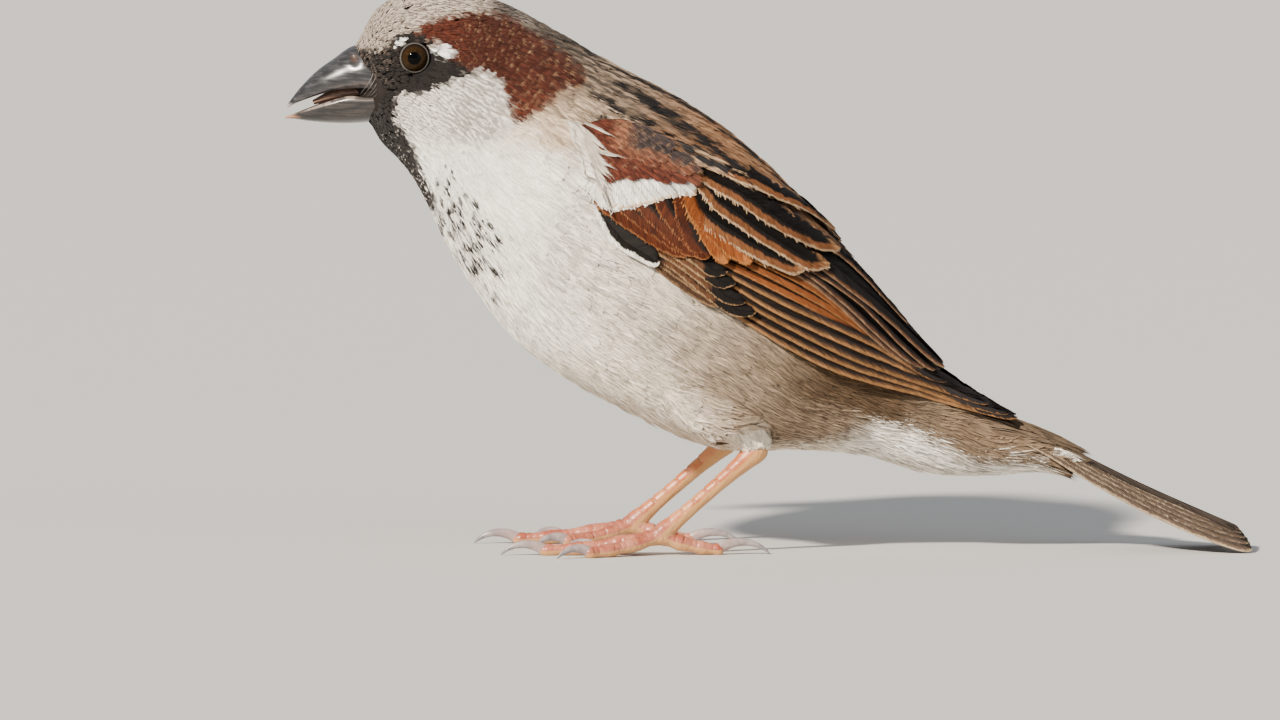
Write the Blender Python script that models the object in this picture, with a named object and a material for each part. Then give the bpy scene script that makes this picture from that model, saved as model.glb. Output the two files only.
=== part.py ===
"""Adult male house sparrow, life size, standing still.

Frame: +Z up, the floor at z = 0, the bird facing -X with its left side at -Y.
All sizes below are millimetres; MM turns them into Blender's metres.
"""

import math

import bmesh
import bpy
from mathutils import Vector

MM = 0.001
GAP = 0.32  # clearance between neighbouring pieces
CUT = 0.5 * GAP  # each side of a parting cut gives up half of it
SIDES = ((1, "right"), (-1, "left"))

# ---------------------------------------------------------------- materials

COLOURS = {  # base colour, roughness
    "crown_grey": ((0.48, 0.45, 0.40), 0.85),
    "breast_white": ((0.78, 0.75, 0.69), 0.9),
    "mantle_buff": ((0.45, 0.32, 0.21), 0.85),
    "chestnut": ((0.30, 0.12, 0.06), 0.8),
    "flight_brown": ((0.12, 0.08, 0.06), 0.7),
    "horn": ((0.07, 0.07, 0.08), 0.35),
    "mouth": ((0.25, 0.10, 0.09), 0.5),
    "eye": ((0.04, 0.02, 0.01), 0.08),
    "leg_pink": ((0.62, 0.30, 0.20), 0.5),
    "claw_grey": ((0.30, 0.27, 0.27), 0.4),
}


def material(slot):
    found = bpy.data.materials.get(slot)
    if found:
        return found
    colour, roughness = COLOURS[slot]
    made = bpy.data.materials.new(slot)
    made.use_nodes = True
    shader = made.node_tree.nodes["Principled BSDF"]
    shader.inputs["Base Color"].default_value = (*colour, 1)
    shader.inputs["Roughness"].default_value = roughness
    shader.inputs["Metallic"].default_value = 0.0
    return made


# ------------------------------------------------------------- mesh helpers


def mesh_object(name, rings, slot):
    """A closed solid from rings of points in millimetres, each ring capped at both ends."""
    mesh = bmesh.new()
    rows = [[mesh.verts.new(Vector(p) * MM) for p in ring] for ring in rings]
    for row, after in zip(rows, rows[1:]):
        for k in range(len(row)):
            n = (k + 1) % len(row)
            mesh.faces.new((row[k], row[n], after[n], after[k]))
    mesh.faces.new(list(reversed(rows[0])))
    mesh.faces.new(rows[-1])
    bmesh.ops.recalc_face_normals(mesh, faces=mesh.faces)
    return finish_mesh(name, mesh, slot)


def finish_mesh(name, mesh, slot):
    data = bpy.data.meshes.new(name)
    mesh.to_mesh(data)
    mesh.free()
    data.shade_smooth()
    obj = bpy.data.objects.new(name, data)
    bpy.context.scene.collection.objects.link(obj)
    data.materials.append(material(slot))
    return obj


def helper(obj):
    """Marks a cutter or a union's operand, which is not a piece itself."""
    obj.hide_render = True
    obj.display_type = "WIRE"
    return obj


def boolean(obj, other, operation):
    made = obj.modifiers.new(other.name, "BOOLEAN")
    made.operation = operation
    made.object = other
    made.solver = "EXACT"
    return obj


def curve_value(rows, u):
    """Catmull-Rom interpolation of equal-length number rows at u, counted in rows."""
    k = min(max(int(math.floor(u)), 0), len(rows) - 2)
    t = u - k
    a, b = rows[max(k - 1, 0)], rows[k]
    c, d = rows[k + 1], rows[min(k + 2, len(rows) - 1)]
    return [
        0.5 * (2 * q + (r - p) * t + (2 * p - 5 * q + 4 * r - s) * t * t + (3 * q - p - 3 * r + s) * t ** 3)
        for p, q, r, s in zip(a, b, c, d)
    ]


def signed_power(value, power):
    return math.copysign(abs(value) ** power, value)


def tube_rings(points, radii, sides, flatten=1.0):
    """Round rings across a path; flatten scales each ring's sideways radius."""
    points = [Vector(p) for p in points]
    rings = []
    for k, (point, radius) in enumerate(zip(points, radii)):
        along = points[min(k + 1, len(points) - 1)] - points[max(k - 1, 0)]
        along.normalize()
        side = along.cross(Vector((0, 0, 1)))
        side = side.normalized() if side.length > 1e-6 else Vector((0, 1, 0))
        up = side.cross(along)
        rings.append([
            point
            + side * (radius * flatten * math.cos(2 * math.pi * j / sides))
            + up * (radius * math.sin(2 * math.pi * j / sides))
            for j in range(sides)
        ])
    return rings


# ----------------------------------------------------- head, trunk and tail

# Sections from the face to the tail tip. Each one is a plane across the body, through its
# dorsal and ventral points (x, z). Then: half width, where the widest level lies between
# ventral (0) and dorsal (1), how far the sides droop below the middle, and the tail's notch.
BODY = {
    "face": (-61.3, 77.2, -58.2, 63.5, 4.6, 0.50, 0.0, 0.0),
    "lores": (-58.0, 81.0, -56.5, 60.6, 6.9, 0.50, 0.0, 0.0),
    "eye": (-54.0, 83.3, -54.3, 58.0, 9.0, 0.50, 0.0, 0.0),
    "cheek": (-47.5, 84.0, -51.8, 54.4, 10.5, 0.47, 0.0, 0.0),
    "nape": (-39.8, 82.5, -49.4, 50.0, 11.5, 0.46, 0.0, 0.0),
    "neck": (-32.2, 78.7, -46.6, 45.0, 13.3, 0.47, 0.0, 0.0),
    "shoulder": (-23.2, 73.4, -42.1, 38.1, 16.6, 0.50, 0.0, 0.0),
    "mantle": (-12.8, 67.9, -36.4, 31.1, 19.4, 0.52, 0.0, 0.0),
    "back": (-2.2, 60.2, -28.3, 25.5, 20.6, 0.53, 0.0, 0.0),
    "flank": (7.3, 50.7, -18.4, 20.3, 19.4, 0.54, 0.0, 0.0),
    "loin": (15.0, 41.6, -8.2, 16.3, 16.4, 0.54, 0.0, 0.0),
    "rump": (21.6, 33.6, 2.2, 16.4, 12.6, 0.55, 0.0, 0.0),
    "vent": (27.0, 27.6, 14.2, 15.2, 9.8, 0.56, 0.0, 0.0),
    "undertail": (32.4, 23.4, 24.6, 12.2, 8.0, 0.58, 0.2, 0.0),
    "covert_tips": (38.2, 19.4, 34.6, 12.4, 7.0, 0.62, 0.8, 0.0),
    "tail_root": (44.6, 15.7, 43.4, 12.9, 6.8, 0.60, 1.6, 0.0),
    "tail_middle": (57.4, 9.3, 56.7, 8.0, 7.2, 0.50, 2.2, 0.0),
    "tail_tip": (72.5, 2.7, 72.1, 1.5, 8.3, 0.50, 2.2, 1.4),
}
STATIONS = list(BODY)
BODY_ROWS = list(BODY.values())
ROUNDNESS = 2.15  # superellipse exponent of the sections
RING_POINTS = 24


def body_ring(u, grow=0.0, points=RING_POINTS):
    """The section at u, enlarged by grow all round. It never goes below the floor."""
    dx, dz, vx, vz, half, widest, droop, notch = curve_value(BODY_ROWS, u)
    dorsal, ventral = Vector((dx, 0, dz)), Vector((vx, 0, vz))
    up = (dorsal - ventral).normalized()
    height = (dorsal - ventral).length
    waist = ventral + up * (height * widest)
    tailward = Vector((up.z, 0, -up.x))
    ring = []
    for k in range(points):
        angle = 2 * math.pi * k / points
        across = signed_power(math.cos(angle), 2 / ROUNDNESS)
        rise = signed_power(math.sin(angle), 2 / ROUNDNESS)
        reach = height * ((1 - widest) if rise > 0 else widest) + grow
        point = waist + up * (rise * reach - droop * across ** 2)
        point += tailward * (notch * (across ** 2 - 1))
        point.y = across * (half + grow)
        point.z = max(point.z, 0.0)
        ring.append(point)
    return ring


def station(name):
    return STATIONS.index(name)


def body_length(u):
    """How far the section's middle moves for a step of one in u, for even parting cuts."""
    a, b = curve_value(BODY_ROWS, u - 0.01), curve_value(BODY_ROWS, u + 0.01)
    return math.hypot(b[0] + b[2] - a[0] - a[2], b[1] + b[3] - a[1] - a[3]) / 0.04


def body_piece(name, start, end, slot, steps, grow=0.0, part=True):
    """The body from section start to section end, less half a parting cut at each end."""
    first = start + (CUT / body_length(start + 0.02) if part and start > 0 else 0)
    last = end - (CUT / body_length(end - 0.02) if part and end < len(STATIONS) - 1 else 0)
    count = max(2, round((end - start) * steps))
    rings = [body_ring(first + (last - first) * k / count, grow) for k in range(count + 1)]
    return mesh_object(name, rings, slot)


# ------------------------------------------------------------------- wings

# The folded wing's outer face, from the bend of the wing to the tip. Each row is its upper
# edge (x, y, z), its lower edge (x, y, z), how far it bulges between them, and its thickness.
WING = {
    "bend": (-27.2, 13.4, 63.2, -26.9, 16.6, 54.6, 1.2, 1.6),
    "shoulder": (-22.9, 14.1, 62.8, -22.6, 19.6, 46.6, 2.8, 2.2),
    "coverts": (-17.0, 14.4, 61.0, -16.6, 21.2, 41.4, 3.7, 2.4),
    "scapulars": (-8.0, 12.8, 55.9, -8.7, 21.9, 36.6, 4.2, 2.4),
    "tertials": (2.6, 9.2, 49.2, 1.1, 20.8, 30.8, 4.3, 2.1),
    "secondaries": (12.3, 5.4, 41.9, 10.1, 18.2, 26.4, 3.8, 1.7),
    "rump_cover": (20.6, 3.4, 34.4, 19.1, 13.8, 23.1, 2.5, 1.3),
    "primaries": (28.4, 2.7, 26.8, 27.3, 8.8, 20.8, 1.2, 1.0),
    "tip": (36.6, 3.0, 18.7, 36.4, 4.7, 17.8, 0.2, 0.8),
}
WING_ROWS = list(WING.values())
WING_LAST = len(WING_ROWS) - 1
COVERT_END = 4.1  # where the coverts give way to the flight feathers
TERTIAL_EDGE = 0.46  # how far down the wing the tertials reach, 0 at the upper edge
TERTIAL_END = 7.1  # where the tertials stop along the wing
WING_PART = (0.018, 0.008)  # half a parting cut, along the wing and down it
SEAT_RANGE = (-0.05, WING_LAST + 0.07)  # along the wing, a little past both its ends
SEAT_OUTWARD = 7.0  # how far outside the wing its seat clears the body
EDGE_THICKNESS = 0.7  # share of the thickness that is left at the wing's rim


def wing_frame(s, t, widen=0.0):
    """A point on the wing's outer face with its outward direction and the thickness there.

    widen moves the upper and lower edges apart by that many millimetres each.
    """
    ux, uy, uz, lx, ly, lz, bulge, thick = curve_value(WING_ROWS, s)
    upper, lower = Vector((ux, uy, uz)), Vector((lx, ly, lz))
    ahead, behind = curve_value(WING_ROWS, s + 0.05), curve_value(WING_ROWS, s - 0.05)
    along = (Vector(ahead[0:3]) + Vector(ahead[3:6]) - Vector(behind[0:3]) - Vector(behind[3:6])).normalized()
    down = lower - upper
    t += (2 * t - 1) * widen / down.length
    out = down.cross(along).normalized()
    if out.y < 0:
        out = -out
    inside = min(max(t, 0.0), 1.0)
    point = upper + down * t + out * (4 * bulge * t * (1 - t))
    slope = math.atan2(4 * bulge * (1 - 2 * t), down.length)
    normal = out * math.cos(slope) - down.normalized() * math.sin(slope)
    rim = EDGE_THICKNESS + (1 - EDGE_THICKNESS) * 4 * inside * (1 - inside)
    return point, normal, thick * rim


def wing_piece(name, side, s_range, t_range, slot, outward=0.0, inward=0.0, widen=0.0, steps=(12, 5)):
    """A patch of the folded wing as a closed plate; the three lengths enlarge it for cutting."""
    outer, inner = [], []
    for i in range(steps[0] + 1):
        s = s_range[0] + (s_range[1] - s_range[0]) * i / steps[0]
        outer.append([])
        inner.append([])
        for j in range(steps[1] + 1):
            t = t_range[0] + (t_range[1] - t_range[0]) * j / steps[1]
            point, normal, thick = wing_frame(s, t, widen)
            for rows, offset in ((outer, outward), (inner, -thick - inward)):
                place = point + normal * offset
                place.y = max(place.y, CUT) * side
                rows[-1].append(place)
    mesh = bmesh.new()
    grids = [[[mesh.verts.new(p * MM) for p in row] for row in rows] for rows in (outer, inner)]
    for grid in grids:
        for row, after in zip(grid, grid[1:]):
            for j in range(len(row) - 1):
                mesh.faces.new((row[j], row[j + 1], after[j + 1], after[j]))
    rims = [rim_of(grid) for grid in grids]
    for k in range(len(rims[0])):
        n = (k + 1) % len(rims[0])
        mesh.faces.new((rims[0][k], rims[0][n], rims[1][n], rims[1][k]))
    bmesh.ops.recalc_face_normals(mesh, faces=mesh.faces)
    return finish_mesh(name, mesh, slot)


def rim_of(grid):
    """The grid's border vertices in order."""
    top = list(grid[0])
    right = [row[-1] for row in grid[1:]]
    bottom = list(reversed(grid[-1][:-1]))
    left = [row[0] for row in reversed(grid[1:-1])]
    return top + right + bottom + left


# -------------------------------------------------------------------- bill

# Sections from inside the face to the tip: ridge or keel (x, z), cutting edge (x, z), half width.
UPPER_BILL = (
    (-57.0, 77.0, -55.2, 69.0, 3.9),
    (-61.6, 76.2, -58.6, 69.7, 4.1),
    (-64.3, 74.1, -61.6, 69.7, 3.6),
    (-66.9, 71.9, -64.6, 69.2, 2.8),
    (-69.2, 69.6, -67.7, 68.2, 1.7),
    (-70.7, 67.7, -70.1, 67.2, 0.8),
    (-71.5, 66.6, -71.3, 66.4, 0.3),
)
LOWER_BILL = (
    (-56.0, 64.8, -55.4, 68.3, 3.7),
    (-58.6, 64.3, -59.0, 67.9, 3.8),
    (-61.8, 64.1, -62.0, 68.1, 3.4),
    (-65.0, 64.15, -65.0, 67.3, 2.7),
    (-68.0, 64.4, -67.8, 66.3, 1.8),
    (-70.1, 64.7, -70.0, 65.5, 0.9),
    (-71.6, 64.8, -71.6, 65.0, 0.3),
)
BILL_HALF_SIDES = 7
BILL_STEPS = 10


def bill_rings(rows, grow=0.0):
    """Half-round sections: flat along the cutting edges, arched over the ridge."""
    rings = []
    for k in range(BILL_STEPS + 1):
        rx, rz, ex, ez, half = curve_value(rows, (len(rows) - 1) * k / BILL_STEPS)
        ridge, edge = Vector((rx, 0, rz)), Vector((ex, 0, ez))
        across = (ridge - edge).normalized()
        height = (ridge - edge).length + grow
        ring = []
        for j in range(BILL_HALF_SIDES + 1):
            angle = math.pi * j / BILL_HALF_SIDES
            point = edge + across * (height * math.sin(angle) ** 0.85)
            point.y = (half + grow) * math.cos(angle)
            ring.append(point)
        for j in range(1, 4):  # the flat side, a little grown past the edges
            point = edge - across * grow
            point.y = (half + grow) * (-1 + j / 2)
            ring.append(point)
        rings.append(ring)
    return rings


TONGUE = ((-57.2, 68.9, 1.2), (-60.5, 68.85, 1.3), (-63.6, 68.55, 1.1), (-66.0, 67.9, 0.5))
TONGUE_THICK = 0.30  # of its half width


def tongue(name, grow=0.0):
    points = [(x, 0, z) for x, z, _ in TONGUE]
    points[0] = (points[0][0] + grow, 0, points[0][2])
    radii = [r * TONGUE_THICK + grow for _, _, r in TONGUE]
    rings = tube_rings(points, radii, 8, 1 / TONGUE_THICK)
    return mesh_object(name, rings, "mouth")


# -------------------------------------------------------------------- eyes

EYE_CENTRE = (-52.1, 7.3, 74.3)
EYE_RADIUS = 2.7


def ball(name, centre, radius, slot, segments=16, rings=10):
    mesh = bmesh.new()
    bmesh.ops.create_uvsphere(mesh, u_segments=segments, v_segments=rings, radius=radius * MM)
    bmesh.ops.translate(mesh, verts=mesh.verts, vec=Vector(centre) * MM)
    return finish_mesh(name, mesh, slot)


# -------------------------------------------------------------------- legs

ANKLE = {"left": (-1.2, 9.6, 15.4), "right": (-5.4, 9.6, 15.4)}
THIGH_TOP = (-8.0, -0.8, 11.0)  # from the ankle to where the feathered thigh leaves the belly
THIGH_RADII = (6.4, 5.4, 3.7, 1.9)
TARSUS_LENGTH = 18.9
BALL_HEIGHT = 3.0
BALL_RADIUS = 1.75
TARSUS_RADII = (1.35, 1.15, 1.05, 1.05, 1.25, 1.5)
LEG_SIDES = 10
TOE_SIDES = 8
TOE_TIP_RADIUS = 0.8
TOE_STEPS = 9
CLAW_STEPS = 6
# Heading in degrees outward from straight ahead, length without the claw, root radius, claw length.
TOES = {
    "inner": (-24.0, 11.6, 1.1, 4.8),
    "middle": (1.0, 18.2, 1.25, 6.2),
    "outer": (26.0, 12.6, 1.1, 5.0),
    "hind": (186.0, 9.6, 1.3, 7.6),
}
PHALANX_SWELL = 0.16  # how much a toe swells at its joints
TOE_SINK = 0.12  # how far a toe's round underside is flattened by the floor
CLAW_LEAN = (28.0, -50.0)  # degrees a claw points above the horizontal, at its root and its tip
CLAW_RADII = (0.72, 0.12)
CLAW_FLATTEN = 0.8
FLOOR_CUT = 8.0


def ball_place(which, side):
    """Where the tarsus ends and the toes spread."""
    x, y, z = ANKLE[which]
    rise = z - BALL_HEIGHT
    run = math.sqrt(TARSUS_LENGTH ** 2 - rise ** 2)
    return Vector((x - run, side * (y + 0.9), BALL_HEIGHT))


def thigh(which, side, trunk_cutter):
    x, y, z = ANKLE[which]
    lower = Vector((x, side * y, z))
    upper = lower + Vector((THIGH_TOP[0], side * THIGH_TOP[1], THIGH_TOP[2]))
    last = len(THIGH_RADII) - 1
    points = [upper.lerp(lower, k / last) for k in range(last + 1)]
    rows = [(*p, r) for p, r in zip(points, THIGH_RADII)]
    fine = [curve_value(rows, last * k / 8) for k in range(9)]
    rings = tube_rings([row[:3] for row in fine], [row[3] for row in fine], 16, 0.82)
    piece = mesh_object(f"thigh_{which}", rings, "breast_white")
    return boolean(piece, trunk_cutter, "DIFFERENCE")


def tarsus(which, side):
    """The scaly shank, from just under the thigh's feathers to the toes."""
    x, y, z = ANKLE[which]
    start, end = Vector((x, side * y, z)), ball_place(which, side)
    along = (end - start).normalized()
    start += along * (THIGH_RADII[-1] + GAP)
    end -= along * (BALL_RADIUS + GAP)
    last = len(TARSUS_RADII) - 1
    points = [start.lerp(end, k / last) for k in range(last + 1)]
    return mesh_object(f"tarsus_{which}", tube_rings(points, TARSUS_RADII, LEG_SIDES, 0.86), "leg_pink")


def toe_path(which, side, toe):
    """Points and radii from the ball to the claw's root, dropping to the floor."""
    heading, length, radius, _ = TOES[toe]
    centre = ball_place(which, side)
    angle = math.radians(heading)
    forward = Vector((-math.cos(angle), side * math.sin(angle), 0))
    points, radii = [], []
    for k in range(TOE_STEPS + 1):
        share = k / TOE_STEPS
        rest = TOE_TIP_RADIUS + (radius - TOE_TIP_RADIUS) * (1 - share)
        swell = 1 + PHALANX_SWELL * math.cos(2 * math.pi * 3 * share)
        height = rest - TOE_SINK + (BALL_HEIGHT - rest) * (1 - share) ** 2.2
        points.append(centre + forward * (length * share) + Vector((0, 0, height - BALL_HEIGHT)))
        radii.append(rest * swell)
    return points, radii, forward


def foot(which, side, floor):
    """The ball of the foot and its four toes in one piece, flat where they stand."""
    centre = ball_place(which, side)
    piece = ball(f"foot_{which}", centre, BALL_RADIUS, "leg_pink", 12, 8)
    for toe in TOES:
        points, radii, _ = toe_path(which, side, toe)
        operand = mesh_object(f"toe_{toe}_{which}_shape", tube_rings(points, radii, TOE_SIDES), "leg_pink")
        boolean(piece, helper(operand), "UNION")
    return boolean(piece, floor, "DIFFERENCE")


def claw(which, side, toe):
    """A tapering hook that leaves the toe's end, arches up and comes down to the floor."""
    points, _, forward = toe_path(which, side, toe)
    step = TOES[toe][3] / CLAW_STEPS
    root, tip = CLAW_RADII
    place = points[-1] + forward * GAP + Vector((0, 0, TOE_SINK))
    path, radii = [place.copy()], [root]
    for k in range(CLAW_STEPS):
        share = (k + 0.5) / CLAW_STEPS
        lean = math.radians(CLAW_LEAN[0] + (CLAW_LEAN[1] - CLAW_LEAN[0]) * share)
        place = place + (forward * math.cos(lean) + Vector((0, 0, math.sin(lean)))) * step
        path.append(place.copy())
        radii.append(root * (1 - (k + 1) / CLAW_STEPS) ** 0.75 + tip)
    drop = (path[-1].z - tip) / CLAW_STEPS ** 2
    for k, point in enumerate(path):
        point.z -= drop * k ** 2
    return mesh_object(f"claw_{toe}_{which}", tube_rings(path, radii, 6, CLAW_FLATTEN), "claw_grey")


# ----------------------------------------------------------------- assembly


def floor_cutter():
    mesh = bmesh.new()
    bmesh.ops.create_cube(mesh, size=1.0)
    bmesh.ops.scale(mesh, verts=mesh.verts, vec=Vector((0.2, 0.2, FLOOR_CUT * MM)))
    bmesh.ops.translate(mesh, verts=mesh.verts, vec=Vector((0, 0, -0.5 * FLOOR_CUT * MM)))
    return helper(finish_mesh("floor_cutter", mesh, "horn"))


def build_head():
    head = body_piece("head", 0, station("nape") + 0.3, "crown_grey", 3)
    for side, which in SIDES:
        centre = (EYE_CENTRE[0], side * EYE_CENTRE[1], EYE_CENTRE[2])
        ball(f"eye_{which}", centre, EYE_RADIUS, "eye")
        socket = ball(f"socket_{which}", centre, EYE_RADIUS + GAP, "eye")
        boolean(head, helper(socket), "DIFFERENCE")
    for name, rows in (("bill_upper", UPPER_BILL), ("bill_lower", LOWER_BILL)):
        mesh_object(name, bill_rings(rows), "horn")
        seat = mesh_object(f"{name}_seat", bill_rings(rows, GAP), "horn")
        boolean(head, helper(seat), "DIFFERENCE")
    tongue("tongue")
    boolean(head, helper(tongue("tongue_seat", GAP)), "DIFFERENCE")


def build_wings():
    """Both folded wings, and the cutters that seat them in the body."""
    before, after = COVERT_END - WING_PART[0], COVERT_END + WING_PART[0]
    above, below = TERTIAL_EDGE - WING_PART[1], TERTIAL_EDGE + WING_PART[1]
    pieces = (
        ("wing_coverts", (0, before), (0, 1), "chestnut", (10, 5)),
        ("tertials", (after, TERTIAL_END), (0, above), "flight_brown", (9, 4)),
        ("primaries", (after, WING_LAST), (below, 1), "flight_brown", (12, 4)),
    )
    cutters = []
    for side, which in SIDES:
        for name, s_range, t_range, slot, steps in pieces:
            wing_piece(f"{name}_{which}", side, s_range, t_range, slot, steps=steps)
        cutter = wing_piece(
            f"wing_seat_{which}", side, SEAT_RANGE, (0, 1), "chestnut",
            outward=SEAT_OUTWARD, inward=GAP, widen=1.2 * GAP, steps=(17, 6),
        )
        cutters.append(helper(cutter))
    return cutters


def build():
    for obj in list(bpy.data.objects):
        bpy.data.objects.remove(obj)
    floor = floor_cutter()
    build_head()
    wing_seats = build_wings()
    pieces = (
        ("neck", station("nape") + 0.3, station("neck") + 0.62, "breast_white", 4),
        ("trunk", station("neck") + 0.62, station("rump") + 0.4, "breast_white", 2),
        ("rump", station("rump") + 0.4, station("covert_tips") + 0.6, "mantle_buff", 3),
    )
    for name, start, end, slot, steps in pieces:
        piece = body_piece(name, start, end, slot, steps)
        for seat in wing_seats:
            boolean(piece, seat, "DIFFERENCE")
    tail = body_piece("tail", station("covert_tips") + 0.6, station("tail_tip"), "flight_brown", 4)
    for seat in wing_seats:
        boolean(tail, seat, "DIFFERENCE")
    belly = helper(body_piece("belly_cutter", station("mantle"), station("vent"), "horn", 3, GAP, False))
    for side, which in SIDES:
        thigh(which, side, belly)
        tarsus(which, side)
        foot(which, side, floor)
        for toe in TOES:
            claw(which, side, toe)


build()
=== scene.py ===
import math

import bpy
import numpy as np
from mathutils import Matrix, Vector
from mathutils.kdtree import KDTree


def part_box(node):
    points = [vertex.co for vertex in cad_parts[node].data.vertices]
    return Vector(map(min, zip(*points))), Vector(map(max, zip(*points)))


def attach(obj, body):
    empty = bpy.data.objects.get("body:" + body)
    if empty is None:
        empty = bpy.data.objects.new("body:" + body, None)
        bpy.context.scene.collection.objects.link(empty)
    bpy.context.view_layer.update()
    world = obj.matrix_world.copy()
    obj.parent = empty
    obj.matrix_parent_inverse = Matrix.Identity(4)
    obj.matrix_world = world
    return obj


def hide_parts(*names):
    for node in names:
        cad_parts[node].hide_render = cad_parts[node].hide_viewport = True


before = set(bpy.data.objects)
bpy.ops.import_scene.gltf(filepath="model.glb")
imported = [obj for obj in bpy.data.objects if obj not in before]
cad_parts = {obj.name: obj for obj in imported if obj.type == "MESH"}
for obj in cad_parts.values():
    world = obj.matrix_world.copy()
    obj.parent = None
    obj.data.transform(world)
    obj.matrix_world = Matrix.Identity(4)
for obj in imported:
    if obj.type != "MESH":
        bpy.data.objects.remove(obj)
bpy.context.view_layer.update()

mm = 0.001
sides = {"left": -1, "right": 1}
upward = np.array([0, 0, 1.0])
print("frame loaded:", len(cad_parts), "nodes")


# small helpers

def ramp(value, low, high):  # 0 at low, 1 at high, smooth between
    t = np.clip((np.asarray(value, float) - low) / (high - low), 0, 1)
    return t * t * (3 - 2 * t)


def fade(value, low, high):  # 1 at low, 0 at high
    return 1 - ramp(value, low, high)


def between(value, low, full, fall, gone):  # 0 below low, 1 from full to fall, 0 again past gone
    return ramp(value, low, full) * fade(value, fall, gone)


def blend(a, b, share):
    share = np.asarray(share)[..., None]
    return np.asarray(a, float) * (1 - share) + np.asarray(b, float) * share


def unit(v):
    return v / np.maximum(np.linalg.norm(v, axis=-1, keepdims=True), 1e-9)


def together(*parts):  # numbers and arrays side by side, as points, colours or places on a map
    return np.stack(np.broadcast_arrays(*parts), -1)


def bell(value, width):  # 1 at zero, falling off to both sides
    return np.exp(-((value / width) ** 2))


def rowAt(rows, u):  # a smooth curve through table rows, u counted in rows
    u = np.asarray(u, float)
    k = np.clip(np.floor(u).astype(int), 0, len(rows) - 2)
    t = (u - k)[..., None]
    a, b = rows[np.maximum(k - 1, 0)], rows[k]
    c, d = rows[k + 1], rows[np.minimum(k + 2, len(rows) - 1)]
    return 0.5 * (2 * b + (c - a) * t + (2 * a - 5 * b + 4 * c - d) * t**2 + (3 * b - a - 3 * c + d) * t**3)


def lengthAlong(path):  # how far each point of a path lies from its start
    return np.concatenate([[0], np.cumsum(np.linalg.norm(np.diff(path, axis=0), axis=1))])


def gridOf(rows, columns):
    return np.meshgrid(rows, columns, indexing="ij")


def turnsOf(count):  # even angles round a ring
    return np.linspace(0, 2 * np.pi, count, endpoint=False)


def treeOf(points):
    tree = KDTree(len(points))
    for index, point in enumerate(points):
        tree.insert(point, index)
    tree.balance()
    return tree


def nearestIn(tree, points):
    return np.array([tree.find(point)[1] for point in points])


def newObject(name, data):
    obj = bpy.data.objects.new(name, data)
    bpy.context.scene.collection.objects.link(obj)
    return obj


def meshObject(name, points, faces, material=None):  # points in mm
    mesh = bpy.data.meshes.new(name)
    mesh.from_pydata((np.asarray(points) * mm).tolist(), [], [tuple(f) for f in faces])
    mesh.shade_smooth()
    if material:
        mesh.materials.append(material)
    return newObject(name, mesh)


def apply(obj):  # carries the modifiers out and leaves a plain mesh
    data = bpy.data.meshes.new_from_object(obj.evaluated_get(bpy.context.evaluated_depsgraph_get()))
    obj.modifiers.clear()
    obj.data = data


def pointsOf(obj, field="co"):  # the points of a mesh in metres, or their normals
    values = np.zeros(len(obj.data.vertices) * 3, np.float32)
    obj.data.vertices.foreach_get(field, values)
    return values.reshape(-1, 3)


def closeUp(obj, voxel, rounds):  # one smooth closed surface round the solids that overlap in a mesh
    remesh = obj.modifiers.new("closeUp", "REMESH")
    remesh.mode = "VOXEL"
    remesh.voxel_size = voxel * mm
    smooth = obj.modifiers.new("soften", "SMOOTH")
    smooth.factor = 0.5
    smooth.iterations = rounds
    apply(obj)
    obj.data.shade_smooth()


def setAttributes(obj, **values):  # one value for each point: a colour, a vector, a number or a whole number
    for name, value in values.items():
        value, kind, field = np.asarray(value), "FLOAT", "value"
        if name.endswith("Color"):
            value, kind, field = np.concatenate([value, np.ones((len(value), 1))], 1), "FLOAT_COLOR", "color"
        elif value.ndim == 2:
            kind, field = "FLOAT_VECTOR", "vector"
        elif value.dtype.kind == "i":
            kind = "INT"
        attribute = obj.data.attributes.new(name, kind, "POINT")
        attribute.data.foreach_set(field, value.ravel().astype(np.int32 if kind == "INT" else np.float32))


def setUnwrap(obj, uv):  # the place of each point on the piece's map
    corners = np.zeros(len(obj.data.loops), np.int32)
    obj.data.loops.foreach_get("vertex_index", corners)
    layer = obj.data.uv_layers.new(name="OFBake")
    layer.data.foreach_set("uv", uv[corners].astype(np.float32).ravel())


def gridFaces(rows, columns, closed=False, first=0):
    faces = []
    for i in range(rows - 1):
        for j in range(columns if closed else columns - 1):
            n = (j + 1) % columns
            faces.append((first + i * columns + j, first + i * columns + n,
                          first + (i + 1) * columns + n, first + (i + 1) * columns + j))
    return faces


def tubeFaces(rows, columns, first=0):  # rings joined into a tube, with both ends closed
    end = first + (rows - 1) * columns
    caps = [tuple(range(first, first + columns))[::-1], tuple(range(end, end + columns))]
    return gridFaces(rows, columns, closed=True, first=first) + caps


def facingOut(points, faces, outward):  # the same faces, wound to look the way outward points
    corners = points[np.array(faces)]
    normal = np.cross(corners[:, 1] - corners[:, 0], corners[:, 2] - corners[:, 0])
    return faces if (normal * outward).sum() > 0 else [face[::-1] for face in faces]


# the body's form: sections from the face to the tail tip
# dorsal x z, ventral x z, half width, widest level, droop of the sides, coat depth

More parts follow.
